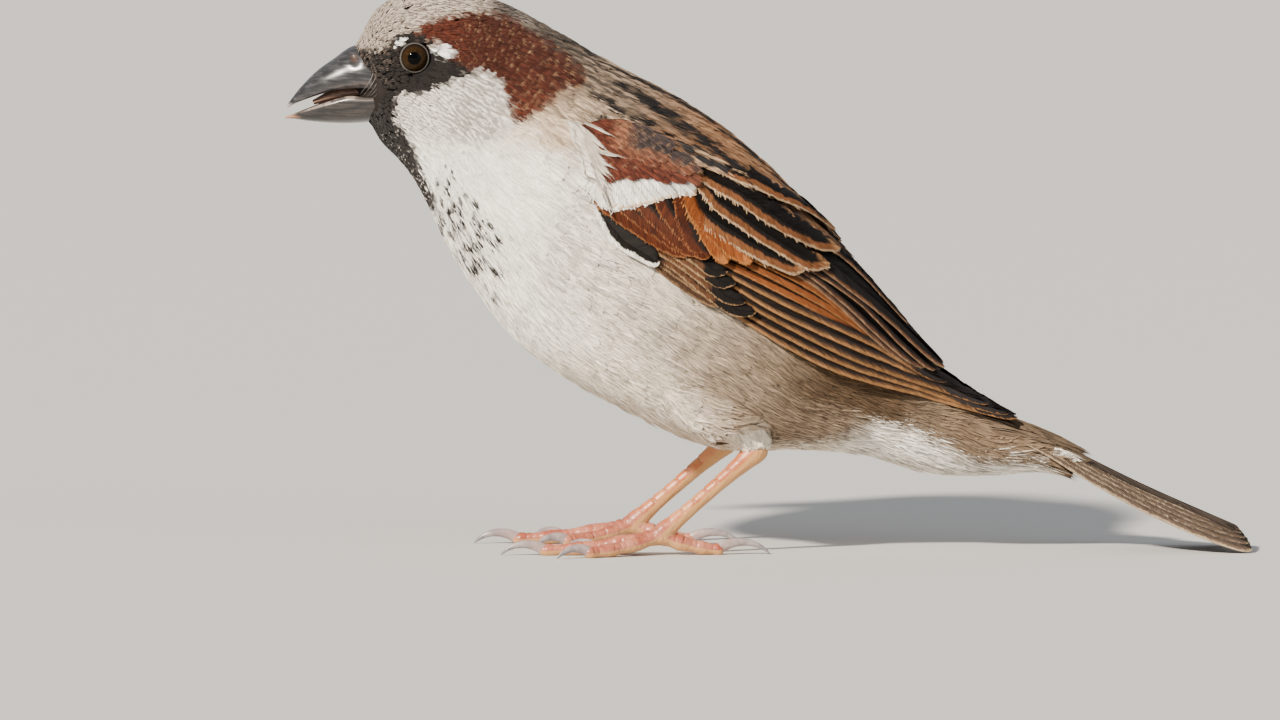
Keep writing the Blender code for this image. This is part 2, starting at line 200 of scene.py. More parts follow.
bodySections = {
    "face": (-61.3, 77.2, -59.4, 63.6, 4.6, 0.50, 0.0, 0.5),
    "lores": (-58.0, 81.0, -56.8, 61.1, 6.9, 0.50, 0.0, 0.7),
    "eye": (-54.0, 83.3, -53.8, 58.2, 9.0, 0.50, 0.0, 0.8),
    "cheek": (-47.5, 84.0, -51.2, 54.6, 10.5, 0.47, 0.0, 1.1),
    "nape": (-39.8, 82.5, -48.9, 50.1, 11.5, 0.46, 0.0, 1.5),
    "neck": (-32.2, 78.7, -46.6, 45.0, 13.3, 0.47, 0.0, 2.0),
    "shoulder": (-23.2, 73.4, -42.1, 38.1, 16.6, 0.50, 0.0, 2.5),
    "mantle": (-12.8, 67.9, -36.4, 31.1, 19.4, 0.52, 0.0, 2.8),
    "back": (-2.2, 60.2, -28.3, 25.5, 20.6, 0.53, 0.0, 2.8),
    "flank": (7.3, 50.7, -18.4, 20.3, 19.4, 0.54, 0.0, 2.8),
    "loin": (15.0, 41.6, -8.2, 16.3, 16.4, 0.54, 0.0, 2.6),
    "rump": (21.6, 33.6, 2.2, 16.4, 12.6, 0.55, 0.0, 2.2),
    "vent": (27.0, 27.6, 14.2, 15.2, 9.8, 0.56, 0.0, 2.0),
    "undertail": (32.4, 23.4, 24.6, 12.2, 8.0, 0.58, 0.2, 1.7),
    "covertTips": (38.2, 19.4, 34.6, 12.4, 7.0, 0.62, 0.8, 1.3),
    "tailRoot": (44.6, 15.7, 43.4, 12.9, 6.8, 0.60, 1.6, 0.8),
    "tailMiddle": (57.4, 9.3, 56.7, 8.0, 7.2, 0.50, 2.2, 0.4),
    "tailTip": (72.5, 2.7, 72.1, 1.5, 8.3, 0.50, 2.2, 0.4),
}
bodyRows = np.array(list(bodySections.values()))
roundness = 2.15
eyeCentre = np.array(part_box("eye_right")[0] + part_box("eye_right")[1]) / 2 / mm
eyeRadius = (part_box("eye_right")[1].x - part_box("eye_right")[0].x) / 2 / mm
headForms = (  # x, z, spread, height: hollows and swellings of the head's sides
    (-52.1, 74.6, 3.2, -0.55),
    (-53.0, 78.4, 2.0, 0.45),
    (-57.4, 73.0, 2.2, -0.55),
    (-47.0, 66.5, 5.0, 0.5),
    (-45.5, 74.5, 3.5, -0.2),
)


def bodyPoint(u, a, out=0.0):  # a runs round the section, 0 right and pi/2 dorsal
    u, a = np.broadcast_arrays(np.asarray(u, float), np.asarray(a, float))
    row = rowAt(bodyRows, np.maximum(u, 0))
    nose = np.clip(-u / 0.6, 0, 1)
    shrink = np.sqrt(np.maximum(1 - nose**2, 0.002))
    dorsal = together(row[..., 0], 0, row[..., 1])
    ventral = together(row[..., 2], 0, row[..., 3])
    height = np.linalg.norm(dorsal - ventral, axis=-1)
    up = (dorsal - ventral) / height[..., None]
    across = np.sign(np.cos(a)) * np.abs(np.cos(a)) ** (2 / roundness)
    rise = np.sign(np.sin(a)) * np.abs(np.sin(a)) ** (2 / roundness)
    reach = height * np.where(rise > 0, 1 - row[..., 5], row[..., 5]) * shrink + out
    waist = ventral + up * (height * row[..., 5])[..., None]
    point = waist + up * (rise * reach - row[..., 6] * across**2)[..., None]
    tailward = together(up[..., 2], 0, -up[..., 0])
    point = point - tailward * (1.4 * nose)[..., None]
    point[..., 1] = across * (row[..., 4] * shrink + out)
    relief = sum(h * np.exp(-((point[..., 0] - x) ** 2 + (point[..., 2] - z) ** 2) / s**2)
                 for x, z, s, h in headForms)
    point[..., 1] += np.sign(across) * relief * np.abs(across)
    return point


def coatDepth(u):
    return rowAt(bodyRows, np.maximum(u, 0))[..., 7]


def bodyFrame(u, a, out=0.0):  # point, tailward direction, round direction, outward normal
    step = 0.02
    point = bodyPoint(u, a, out)
    lie = unit(bodyPoint(u + step, a, out) - bodyPoint(u - step, a, out))
    around = unit(bodyPoint(u, a + step, out) - bodyPoint(u, a - step, out))
    normal = unit(np.cross(around, lie))
    return point, lie, around, normal


def dorsalAngle(a):  # degrees from the ridge of the back (0) to the belly (180)
    return np.degrees(np.arccos(np.clip(np.sin(a), -1, 1)))


faceEdge = ((77.6, -62.2), (76.0, -61.6), (74.1, -61.5), (73.2, -60.8), (72.2, -58.8), (71.0, -57.4),
            (69.1, -56.0), (67.6, -57.2), (65.7, -58.3), (64.2, -60.0), (62.0, -61.6))


def behindBill(u, a):  # true where the face has feathers rather than horn
    point = bodyPoint(u, a)
    levels, edge = np.array(faceEdge)[::-1].T
    return (point[:, 0] > np.interp(point[:, 2], levels, edge)) | (point[:, 2] > 77.6) | (point[:, 2] < 62.0)


# markings: one set of rules for the skin and every feather on it

plumage = {
    "crown": (0.52, 0.43, 0.345),
    "crownStreak": (0.15, 0.115, 0.095),
    "chestnut": (0.088, 0.021, 0.0105),
    "chestnutTip": (0.30, 0.17, 0.092),
    "black": (0.015, 0.012, 0.011),
    "bib": (0.020, 0.016, 0.015),
    "cheek": (0.86, 0.80, 0.72),
    "cheekFleck": (0.34, 0.30, 0.26),
    "white": (0.92, 0.895, 0.85),
    "hindCrown": (0.026, 0.021, 0.019),
    "lores": (0.13, 0.095, 0.075),
    "hindNeck": (0.11, 0.078, 0.056),
    "neckBuff": (0.68, 0.53, 0.37),
    "breast": (0.97, 0.92, 0.83),
    "breastShade": (0.72, 0.65, 0.55),
    "belly": (0.92, 0.82, 0.68),
    # dark brown of the rear flank, part real plumage and part painted shade under the wing
    "flank": (0.27, 0.172, 0.098),
    "flankDarkAndShade": (0.085, 0.047, 0.021),
    "mantle": (0.35, 0.18, 0.088),
    "mantleGrey": (0.46, 0.33, 0.225),
    "mantleRufous": (0.14, 0.050, 0.021),
    "mantleDark": (0.010, 0.008, 0.008),
    "rump": (0.15, 0.10, 0.062),
    "undertail": (0.98, 0.925, 0.84),
    "sideShade": (0.50, 0.385, 0.27),
    "undertailSmudge": (0.24, 0.155, 0.092),
}


def over(base, color, share):  # one of the plumage's colours laid over what is there
    return blend(base, plumage[color], share)


chestnutPatch = ((-52.8, 77.9), (-50.0, 80.0), (-46.7, 80.9), (-42.5, 81.2), (-38.3, 80.6), (-33.4, 77.6),
                 (-28.8, 74.2), (-27.2, 71.8), (-30.6, 69.0), (-34.0, 66.6), (-36.8, 64.6), (-37.6, 68.0),
                 (-38.6, 70.6), (-41.3, 73.0), (-44.9, 72.5), (-47.2, 73.6), (-47.6, 75.2), (-48.9, 76.8),
                 (-50.9, 77.5))
blackMask = ((-62.5, 75.0), (-60.2, 76.0), (-57.3, 75.3), (-55.5, 76.7), (-53.9, 78.3), (-50.6, 77.7),
             (-48.9, 76.2), (-48.2, 74.6), (-45.6, 73.7), (-43.2, 71.9), (-46.1, 71.3), (-47.6, 70.4),
             (-49.7, 69.3), (-52.1, 68.8), (-54.2, 69.0), (-54.6, 67.6), (-55.4, 64.8), (-59.0, 60.0),
             (-64.0, 62.0))
bibArea = ((-64.5, 64.2), (-61.4, 64.2), (-59.2, 65.0), (-57.0, 66.6), (-55.0, 67.2), (-54.4, 66.0),
           (-54.8, 64.8), (-53.9, 63.6), (-52.2, 61.2), (-51.3, 58.8), (-50.6, 56.6), (-49.5, 54.4),
           (-48.4, 52.6), (-49.0, 51.0), (-56.0, 50.0), (-64.5, 58.0))
whiteSpots = (  # x z of the middle, half sizes, turn
    ((-47.6, 75.6), (1.45, 0.72), -22),
    ((-54.3, 76.5), (1.15, 0.35), 30),
)


def outlineMask(x, z, outline, soft):  # 1 inside, 0 outside, soft across the edge
    points = np.array(outline)
    best = np.full(np.shape(x), 1e9)
    inside = np.zeros(np.shape(x), bool)
    for (ax, az), (bx, bz) in zip(points, np.roll(points, -1, 0)):
        t = np.clip(((x - ax) * (bx - ax) + (z - az) * (bz - az)) / ((bx - ax) ** 2 + (bz - az) ** 2), 0, 1)
        best = np.minimum(best, np.hypot(x - ax - t * (bx - ax), z - az - t * (bz - az)))
        crosses = ((az > z) != (bz > z)) & (x < ax + (z - az) / np.where(bz == az, 1e-9, bz - az) * (bx - ax))
        inside ^= crosses
    return ramp(np.where(inside, best, -best), -soft, soft)


def spotMask(x, z, centre, radii, turn, soft=0.3):
    c, s = math.cos(math.radians(turn)), math.sin(math.radians(turn))
    dx, dz = x - centre[0], z - centre[1]
    return 1 - ramp(np.hypot((dx * c + dz * s) / radii[0], (dz * c - dx * s) / radii[1]), 1 - soft, 1 + soft)


mantleStripes = (  # station, degrees from the ridge, half width in degrees, strength
    ((5.0, 9.5), (7, 6), 3.8, 1.0),
    ((6.3, 7.5, 8.4, 8.9, 9.6), (24, 31, 31.5, 26, 14), 4.8, 1.0),
    ((6.0, 8.2), (39.5, 42.5), 2.2, 0.9),
    ((6.3, 8.4), (54, 50), 4.0, 0.85),
)


def markings(u, a, rng):  # colours and pattern of a feather whose middle lies at u, a
    point = bodyPoint(u, a)
    n = len(u)
    x = point[:, 0] + rng.normal(0, 0.22, n)
    z = point[:, 2] + rng.normal(0, 0.22, n)
    y = np.abs(point[:, 1])
    top = dorsalAngle(a) + rng.normal(0, 1.2, n)

    # breast, belly and flanks
    under = over(plumage["breast"], "belly", ramp(u, 6.5, 9))
    shade = (0.5 + 0.5 * np.sin(x * 0.9 + z * 0.6)) * rng.random(n)
    under = over(under, "breastShade", 0.2 * shade * fade(u, 7, 9))
    flankLow = 112 + 26 * ramp(u, 8.4, 10.6) - 12 * ramp(u, 10.8, 11.6)
    flankShare = ramp(u, 7.4, 9.6) * fade(top, flankLow, flankLow + 24) * ramp(top, 70, 85)
    under = over(under, "flank", 0.88 * flankShare * fade(u, 11.6, 12.4))
    # rear flank under the wing darkened: partly its real dark brown, partly painted shade cast by the wing
    under = over(under, "flankDarkAndShade", 0.9 * ramp(u, 8.8, 10.2) * fade(top, 96, 120))
    besideWing = between(u, 5.8, 6.8, 9.5, 10.5) * between(top, 70, 82, 112, 138)
    under = over(under, "sideShade", 0.42 * besideWing * (0.4 + 0.6 * rng.random(n)))
    paleFrom = 104 + 6 * ramp(u, 12.6, 14.0)
    smudge = ramp(u, 11.5, 12.8) * fade(top, paleFrom, paleFrom + 14)
    under = over(under, "undertailSmudge", 0.8 * smudge)
    under = over(under, "undertail", ramp(u, 11.2, 11.9) * ramp(top, paleFrom, paleFrom + 12))

    # mantle and rump, with the dark stripes of the mantle
    upper = over(plumage["mantleGrey"], "mantle", ramp(u, 6.0, 7.6))
    upper = over(upper, "rump", ramp(u, 9.3, 10.5))
    upper = upper * (1 - 0.55 * between(u, 8.6, 9.6, 11.6, 12.6))[:, None]
    web = blend(upper, under, ramp(top, 66, 82))
    core = web * 0.85
    core = blend(core, core * 0.72, besideWing * (rng.random(n) < 0.6))
    coreWidth = 0.10 + 0.12 * besideWing
    back = fade(top, 60, 74) * ramp(u, 4.9, 5.6)
    stripes = np.zeros(n)
    for stations, angles, width, strength in mantleStripes:
        off = (top - np.interp(u, stations, angles)) / width
        stripe = strength * np.exp(-np.abs(off) ** 3) * ramp(u, stations[0] - 0.5, stations[0])
        stripes = np.maximum(stripes, stripe)
    stripes = np.clip(stripes * 1.3, 0, 1) * back * fade(u, 9.6, 10.4)
    rufous = back * ramp(np.sin(top * 0.55 + 0.8), 0.0, 0.8) * between(u, 6, 7, 9.6, 10.4)
    web = over(web, "mantleRufous", 0.7 * rufous)
    web = over(web, "mantleDark", stripes)
    core = over(core, "mantleDark", np.maximum(stripes, 0.35 * back))
    tip = over(web, "mantle", 0.3 * back)
    coreWidth = coreWidth + 0.6 * stripes + 0.08 * back
    neckTop = between(u, 4.0, 4.7, 5.2, 6.0) * fade(top, 50, 70)
    web = over(web, "hindNeck", 0.85 * neckTop)
    core = over(core, "mantleDark", 0.8 * neckTop)
    coreWidth = coreWidth + 0.25 * neckTop * rng.random(n)
    tip = over(tip, "mantleGrey", neckTop)
    tipStart = np.where((neckTop > 0.4) & (rng.random(n) < 0.3), 0.9, 2.0)

    # cheek and the sides of the neck
    head = 1 - ramp(u, 4.6, 5.6)
    side = over(plumage["cheek"], "white", fade(z, 57, 63) * ramp(x, -53, -47))
    side = over(side, "neckBuff", 0.8 * ramp(x, -38.5, -35.5) * ramp(z, 58, 63))
    web = blend(web, side, head * ramp(z, 50, 56))
    fleck = head * ramp(z, 60, 64) * fade(x, -38, -34)
    core = over(core, "cheekFleck", fleck)
    coreWidth = np.where(fleck > 0.5, 0.16 + 0.30 * rng.random(n), coreWidth)
    buffBand = spotMask(x, z, (-30.0, 64.5), (9.5, 2.8), 14, 0.5)
    web = over(web, "neckBuff", 0.75 * buffBand)

    # grey crown, dark behind
    crown = np.maximum(ramp(z, 74.4, 76.2), 1 - ramp(top, 40, 55)) * fade(u, 4.2, 4.9)
    web = over(web, "crown", crown)
    core = over(core, "crownStreak", crown)
    hindEdge = 50 - 18 * ramp(u, 4.8, 5.6)
    hind = ramp(x, -42.0, -39.0) * fade(u, 6.2, 7.2) * fade(top, hindEdge, hindEdge + 14)
    web = over(web, "hindCrown", hind * (0.8 + 0.2 * rng.random(n)))
    tip = over(tip, "hindNeck", hind)
    coreWidth = np.where(crown > 0.5, 0.10 + 0.35 * rng.random(n) ** 2, coreWidth)

    # chestnut from the eye to the nape, some feathers with pale tips
    chestnut = outlineMask(x, z, chestnutPatch, 0.5) * ramp(y, 2.2, 4.0)
    color = np.array(plumage["chestnut"])
    web = blend(web, color, chestnut)
    core = blend(core, color * 0.45, chestnut)
    tip = over(tip, "chestnutTip", chestnut)
    paleTips = ramp(x, -48.5, -43.5) * (0.75 + 0.15 * ramp(z, 68, 72)) > rng.random(n)
    web = blend(web, color * (0.62, 0.70, 0.80), 0.8 * chestnut * ramp(x, -47, -42) * ramp(z, 68, 74))
    tipStart = np.where(chestnut > 0.5, np.where(paleTips, 0.77 + 0.11 * rng.random(n), 2.0), tipStart)

    # black mask and bib, and the flecks on the breast below it
    mask = outlineMask(x, z, blackMask, 0.3)
    mottle = mask * ramp(z, 69.5, 71) * fade(x, -56.5, -53.5) * (rng.random(n) < 0.5)
    web = blend(over(web, "black", mask), plumage["lores"], 0.9 * mottle)
    core = over(core, "black", mask)
    bib = outlineMask(x, z, bibArea, 0.3)
    web = over(web, "bib", bib)
    core = over(core, "black", bib)
    tip = over(tip, "cheek", bib)
    tipStart = np.where((bib > 0.5) & (rng.random(n) < 0.2 + 0.5 * ramp(z, 62, 54)), 0.80, tipStart)
    flecks = between(u, 3.4, 4.4, 5.6, 6.4) * ramp(top, 108, 128) > rng.random(n) * 1.9 + 0.1
    core = np.where(flecks[:, None], plumage["bib"], core)
    coreWidth = np.where(flecks, 0.12 + 0.5 * rng.random(n), coreWidth)

    # white spots round the eye
    white = np.max([spotMask(x, z, *spot) for spot in whiteSpots], 0)
    web, core = over(web, "white", white), over(core, "white", white)
    plain = np.maximum(np.where(mottle > 0.5, 0, mask), white) > 0.5
    tipStart = np.where(plain, 2.0, tipStart)
    light = (1 + rng.normal(0, 0.05, n))[:, None]
    return {"webColor": web * light, "coreColor": core * light, "tipColor": tip * light,
            "pattern": together(coreWidth, tipStart, rng.random(n))}


# node trees are written as sums: a Wire is one output of a node

class Wire:
    def __init__(self, node, output=0):
        self.tree, self.socket = node.id_data, node.outputs[output]

    def __add__(self, other):
        return combine("ADD", self, other)

    def __sub__(self, other):
        return combine("SUBTRACT", self, other)

    def __rsub__(self, other):
        return combine("SUBTRACT", other, self)

    def __mul__(self, other):
        return combine("MULTIPLY", self, other)


def feed(socket, value):  # a wire, a colour or any other value
    if isinstance(value, Wire):
        value.tree.links.new(value.socket, socket)
    elif isinstance(value, tuple) and socket.type == "RGBA":
        socket.default_value = (*value, 1)
    elif value is not None:
        socket.default_value = value


def addNode(tree, kind, feeds, **settings):
    node = tree.nodes.new(kind)
    for name, value in settings.items():
        setattr(node, name, value)
    for label, value in feeds.items():
        feed(node.inputs[label], value)
    return node


def combine(operation, a, b=None):
    tree = a.tree if isinstance(a, Wire) else b.tree
    return Wire(addNode(tree, "ShaderNodeMath", {0: a, 1: b}, operation=operation))


def scaled(vector, factor):  # a vector or a colour times a number
    return Wire(addNode(vector.tree, "ShaderNodeVectorMath", {0: vector, "Scale": factor}, operation="SCALE"))


def mixColor(share, a, b):
    return Wire(addNode(share.tree, "ShaderNodeMix", {0: share, 6: a, 7: b}, data_type="RGBA"), 2)


def mapRange(value, low, high, toLow=0.0, toHigh=1.0):
    limits = dict(enumerate((value, low, high, toLow, toHigh)))
    return Wire(addNode(value.tree, "ShaderNodeMapRange", limits, interpolation_type="SMOOTHSTEP"))


def noise(place, scale, detail):
    settings = {"Vector": place, "Scale": scale, "Detail": detail}
    return Wire(addNode(place.tree, "ShaderNodeTexNoise", settings), "Fac")


def attribute(tree, name, output="Fac"):
    return Wire(addNode(tree, "ShaderNodeAttribute", {}, attribute_name=name), output)


def objectPlace(tree):
    return Wire(tree.nodes.new("ShaderNodeTexCoord"), "Object")


def nodeGroup(name, colors, values):  # a group that gives a colour and a height
    group = bpy.data.node_groups.new(name, "ShaderNodeTree")
    for label in colors:
        group.interface.new_socket(label, in_out="INPUT", socket_type="NodeSocketColor")
    for label, value in values.items():
        group.interface.new_socket(label, in_out="INPUT", socket_type="NodeSocketFloat").default_value = value
    group.interface.new_socket("Color", in_out="OUTPUT", socket_type="NodeSocketColor")
    group.interface.new_socket("Height", in_out="OUTPUT", socket_type="NodeSocketFloat")
    into, out = group.nodes.new("NodeGroupInput"), group.nodes.new("NodeGroupOutput")
    return group, {label: Wire(into, label) for label in (*colors, *values)}, out


def featherPaintGroup():  # colours one feather from its middle to its edges, with its barbs
    group, wire, out = nodeGroup("featherPaint", ("Web", "Core", "Tip"), {
        "Across": 0.0, "Along": 0.0, "Core width": 0.2, "Tip start": 2.0, "Chance": 0.5, "Tone": 0.0,
        "Tone contrast": 0.1, "Barb count": 60.0, "Barb slant": 0.55, "Barb contrast": 0.2})
    along, distance = wire["Along"], combine("ABSOLUTE", wire["Across"])
    wander = (noise(objectPlace(group), 900, 2) - 0.5) * 0.5
    core = mapRange(distance + wander, wire["Core width"], wire["Core width"] + 0.18, 1.0, 0.0)
    tip = mapRange(along + wander * 0.3, wire["Tip start"], wire["Tip start"] + 0.12)
    color = mixColor(tip, mixColor(core, wire["Web"], wire["Core"]), wire["Tip"])
    waves = (along - distance * wire["Barb slant"]) * (wire["Barb count"] * (2 * math.pi))
    height = mapRange(combine("SINE", waves), -1.0, 1.0)
    light = (height - 0.5) * wire["Barb contrast"] + 1.0 + (wire["Chance"] - 0.5) * 0.16
    # darker towards the root: partly the feathers' real grey bases, partly painted shade where each feather
    # lies under the next
    light = (light + wire["Tone"] * wire["Tone contrast"]) * mapRange(along, 0.3, 0.75, 0.82, 1.04)
    feed(out.inputs["Color"], scaled(color, light))
    feed(out.inputs["Height"], height)
    return group


# which attribute of a feather feeds each input of the two groups
paintSources = {"Edge": "edgeColor", "Web": "webColor", "Core": "coreColor", "Tip": "tipColor",
                "Across": "across", "From shaft": "fromShaft", "Along": "along", "Barb": "barb",
                "Shade": "shade", "Tone": "tone"}


def newMaterial(name, roughness, specular, others=None):
    material = bpy.data.materials.new(name)
    material.use_nodes = True
    shader = material.node_tree.nodes["Principled BSDF"]
    settings = {"Roughness": roughness, "Specular IOR Level": specular, **(others or {})}
    for label, value in settings.items():
        feed(shader.inputs[label], value)
    return material, material.node_tree, shader


def setColor(shader, color):
    feed(shader.inputs["Base Color"], color)


def addBump(shader, height, strength, distance):
    settings = {"Strength": strength, "Distance": distance, "Height": height}
    feed(shader.inputs["Normal"], Wire(addNode(height.tree, "ShaderNodeBump", settings)))


def featherMaterial(name, group, pattern, settings, surface):  # pattern: what the three pattern values mean
    material, tree, shader = newMaterial(name, *surface)
    paint = addNode(tree, "ShaderNodeGroup", settings, node_tree=group)
    for label, source in paintSources.items():
        if label in paint.inputs:
            feed(paint.inputs[label], attribute(tree, source, "Color" if source.endswith("Color") else "Fac"))
    split = addNode(tree, "ShaderNodeSeparateXYZ", {0: attribute(tree, "pattern", "Vector")})
    for k, label in enumerate(pattern):
        feed(paint.inputs[label], Wire(split, k))
    setColor(shader, Wire(paint, "Color"))
    return material, shader, Wire(paint, "Height")


coatMaterial, _, _ = featherMaterial(
    "softFeathers", featherPaintGroup(), ("Core width", "Tip start", "Chance"),
    {"Barb count": 9.0, "Barb slant": 0.5, "Barb contrast": 0.06, "Tone contrast": 0.11},
    (0.85, 0.15, {"Sheen Weight": 0.1}))
print("materials for feathers made")


# skin: one closed surface under the coat, head to tail root, with the thighs

skin = {"rowsPerStation": 12, "around": 96, "end": 14.2, "voxel": 0.75, "black": (0.02, 0.015, 0.013)}
thighs = {"steps": 10, "around": 20, "flatten": 0.82, "depth": 0.9,
          "ankle": {"left": (-0.5, 9.6, 16.1), "right": (-4.7, 9.6, 16.1)}, "top": (-8.0, -0.8, 11.0)}


def thighAxis(side):  # from inside the belly to just above the bare shank
    ankle = np.array(thighs["ankle"][side]) * (1, sides[side], 1)
    return ankle + np.array(thighs["top"]) * (1, sides[side], 1), ankle


thighRadii = np.array([[6.4], [5.4], [3.7], [1.9]])


def thighFrame(side, share, turn, out=0.0):  # share 0 at the belly, 1 at the ankle
    top, ankle = thighAxis(side)
    along = unit(ankle - top)
    across = unit(np.cross(along, upward))
    up = np.cross(across, along)
    share, turn = np.broadcast_arrays(np.asarray(share, float), np.asarray(turn, float))
    radius = rowAt(thighRadii, share * 3)[..., 0] + out
    centre = top + (ankle - top) * share[..., None]
    ring = across * (np.cos(turn) * thighs["flatten"])[..., None] + up * np.sin(turn)[..., None]
    normal = unit(across * np.cos(turn)[..., None] + up * (np.sin(turn) * thighs["flatten"])[..., None])
    return centre + ring * radius[..., None], np.broadcast_to(along, ring.shape), normal


def buildSkin():
    us = np.linspace(-0.6, skin["end"], int(skin["end"] * skin["rowsPerStation"]))
    u, a = gridOf(us, turnsOf(skin["around"]))
    inside = 1.5 * fade(u, 0.3, 1.2)
    points = bodyPoint(u, a, -coatDepth(u) - inside).reshape(-1, 3)
    faces = tubeFaces(*u.shape)
    for side in sides:
        share, turn = gridOf(np.linspace(-0.1, 1, thighs["steps"]), turnsOf(thighs["around"]))
        ring, _, _ = thighFrame(side, share, turn, -thighs["depth"])
        faces += tubeFaces(*share.shape, first=len(points))
        points = np.concatenate([points, ring.reshape(-1, 3)])
    obj = meshObject("skin", points, faces)
    closeUp(obj, skin["voxel"], 4)
    return obj


def nearestOnBody(points):  # u and a of the body's surface next to each point
    turns = np.linspace(-np.pi / 2, 1.5 * np.pi, 240, endpoint=False)
    u, a = gridOf(np.linspace(-0.6, skin["end"], 320), turns)
    found = nearestIn(treeOf(bodyPoint(u, a, -coatDepth(u)).reshape(-1, 3)), points)
    return u.ravel()[found], a.ravel()[found]


def unwrap(u, a):  # the body's own unwrap, cut along the belly
    return together(0.02 + 0.96 * ((a + np.pi / 2) % (2 * np.pi)) / (2 * np.pi),
                    0.02 + 0.9 * (np.asarray(u) + 0.6) / (skin["end"] + 0.6))


skinObject = buildSkin()
skinU, skinA = nearestOnBody(pointsOf(skinObject) / mm)
skinPaint = markings(skinU, skinA, np.random.default_rng(5))
bare = ~behindBill(skinU, skinA)
skinColor = np.where(bare[:, None], np.array(skin["black"]), skinPaint["webColor"] * 0.8)
setAttributes(skinObject, webColor=skinColor)
setUnwrap(skinObject, unwrap(skinU, skinA))


def skinMaterialMade():
    material, tree, shader = newMaterial("underCoat", 0.9, 0.2)
    mottle = mapRange(noise(objectPlace(tree), 700, 4), 0.3, 0.7, 0.75, 1.1)
    setColor(shader, scaled(attribute(tree, "webColor", "Color"), mottle))
    addBump(shader, noise(objectPlace(tree), 1500, 3), 0.6, 0.0002)
    return material


skinMaterial = skinMaterialMade()
skinObject.data.materials.append(skinMaterial)
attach(skinObject, "root")
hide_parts("head", "neck", "trunk", "rump", "thigh_left", "thigh_right")
print("skin built:", len(skinObject.data.polygons), "faces")


# the folded wing's form: upper edge x y z, lower edge x y z, bulge between them

wingSections = {
    "bend": (-27.2, 13.4, 63.2, -26.9, 16.6, 54.6, 1.2),
    "shoulder": (-22.9, 14.1, 62.8, -22.6, 19.6, 46.6, 2.8),
    "coverts": (-17.0, 14.4, 61.0, -16.6, 21.2, 41.4, 3.7),
    "scapulars": (-8.0, 12.8, 55.9, -8.7, 21.9, 36.6, 4.2),
    "tertials": (2.6, 9.2, 49.2, 1.1, 20.8, 30.8, 4.3),
    "secondaries": (12.3, 5.4, 41.9, 10.1, 18.2, 26.4, 3.8),
    "rumpCover": (20.6, 3.4, 34.4, 19.1, 13.8, 23.1, 2.5),
    "primaries": (28.4, 2.7, 26.8, 27.3, 8.8, 20.8, 1.2),
    "tip": (36.6, 3.0, 18.7, 36.4, 4.7, 17.8, 0.2),
}
wingRows = np.array(list(wingSections.values()))
wingSettle = {"clearance": 0.25, "softness": 0.35, "lowerPull": 0.8}


def wingSurface(s, t):  # the right wing's outer face; s from the bend to the tip, t from upper to lower edge
    s, beyond = np.clip(s, 0, 8), (s - np.clip(s, 0, 8))[..., None]
    row, ahead, behind = rowAt(wingRows, s), rowAt(wingRows, s + 0.05), rowAt(wingRows, s - 0.05)
    along = unit(ahead[..., 0:3] + ahead[..., 3:6] - behind[..., 0:3] - behind[..., 3:6])
    down = row[..., 3:6] - row[..., 0:3]
    out = unit(np.cross(down, along))
    out *= np.sign(out[..., 1:2])
    bow = np.where(t < 0, 4 * t, np.where(t > 1, 4 * (1 - t), 4 * t * (1 - t)))
    return row[..., 0:3] + along * 6.0 * beyond + down * t[..., None] + out * (row[..., 6] * bow)[..., None]


bodyGrid = gridOf(np.linspace(3, 14.9, 300), np.linspace(-0.6, np.pi - 0.3, 160))
bodyGridPoint, _, _, bodyGridNormal = (part.reshape(-1, 3) for part in bodyFrame(*bodyGrid))
bodyTree = treeOf(bodyGridPoint)


def overBody(points, clearance):  # lifts points until they clear the body's coat
    flat = points.reshape(-1, 3)
    found = nearestIn(bodyTree, flat)
    normal = bodyGridNormal[found]
    height = ((flat - bodyGridPoint[found]) * normal).sum(1)
    soft = wingSettle["softness"]
    lift = soft * np.logaddexp(0, (clearance - height) / soft)
    return (flat + normal * lift[:, None]).reshape(points.shape)


def wingSheet(s, t, height, side):
    s, t, height = np.broadcast_arrays(np.asarray(s, float), np.asarray(t, float), np.asarray(height, float))
    base = wingSurface(s, t)
    step = 0.01
    normal = unit(np.cross(wingSurface(s, t + step) - base, wingSurface(s + step, t) - base))
    normal *= np.where((normal * np.array([0, 1, 0.5])).sum(-1, keepdims=True) < 0, -1, 1)
    base = base - normal * (wingSettle["lowerPull"] * ramp(t, 0.6, 1.1))[..., None]
    base = overBody(base, wingSettle["clearance"])
    point = base + normal * height[..., None]
    point[..., 1] = np.maximum(point[..., 1], 0.12) * sides[side]
    return point


# large feathers, each shaped by its outer edge

def splineAt(points, k):  # k 0..1 along a polyline, smooth
    points = np.asarray(points, float)
    length = lengthAlong(points)
    return rowAt(points, np.interp(k, length / length[-1], np.arange(len(points))))


def onGrid(grid, k, v):  # points of a sheet at row k and column v, straight on past the last column
    rows, columns = grid.shape[:2]
    k = np.clip(k, 0, rows - 1.001)
    i, j = np.floor(k).astype(int), np.clip(np.floor(v).astype(int), 0, columns - 2)
    f, g = (k - i)[..., None], (v - j)[..., None]
    near = grid[i, j] * (1 - g) + grid[i, j + 1] * g
    return near * (1 - f) + (grid[i + 1, j] * (1 - g) + grid[i + 1, j + 1] * g) * f


# how a large feather is shaped, unless its kind says otherwise
vaneForm = {"grid": (30, 8), "rootWidth": 0.5, "roundFrom": 0.72, "roundOut": 0.3, "ragged": 0.05,
            "least": (-9, -9), "arch": 0.12, "tilt": 0.35, "rise": 0.0, "sink": 0.5, "shaft": 0.45,
            "slant": 1.15}
vaneColors = ("edgeColor", "webColor", "coreColor", "tipColor")
vaneValues = ("across", "fromShaft", "along", "barb", "shade")
barbs = {"pitch": 0.30, "width": 0.21, "steps": 4, "over": 0.05, "edgeUp": 0.05, "clump": 0.5}


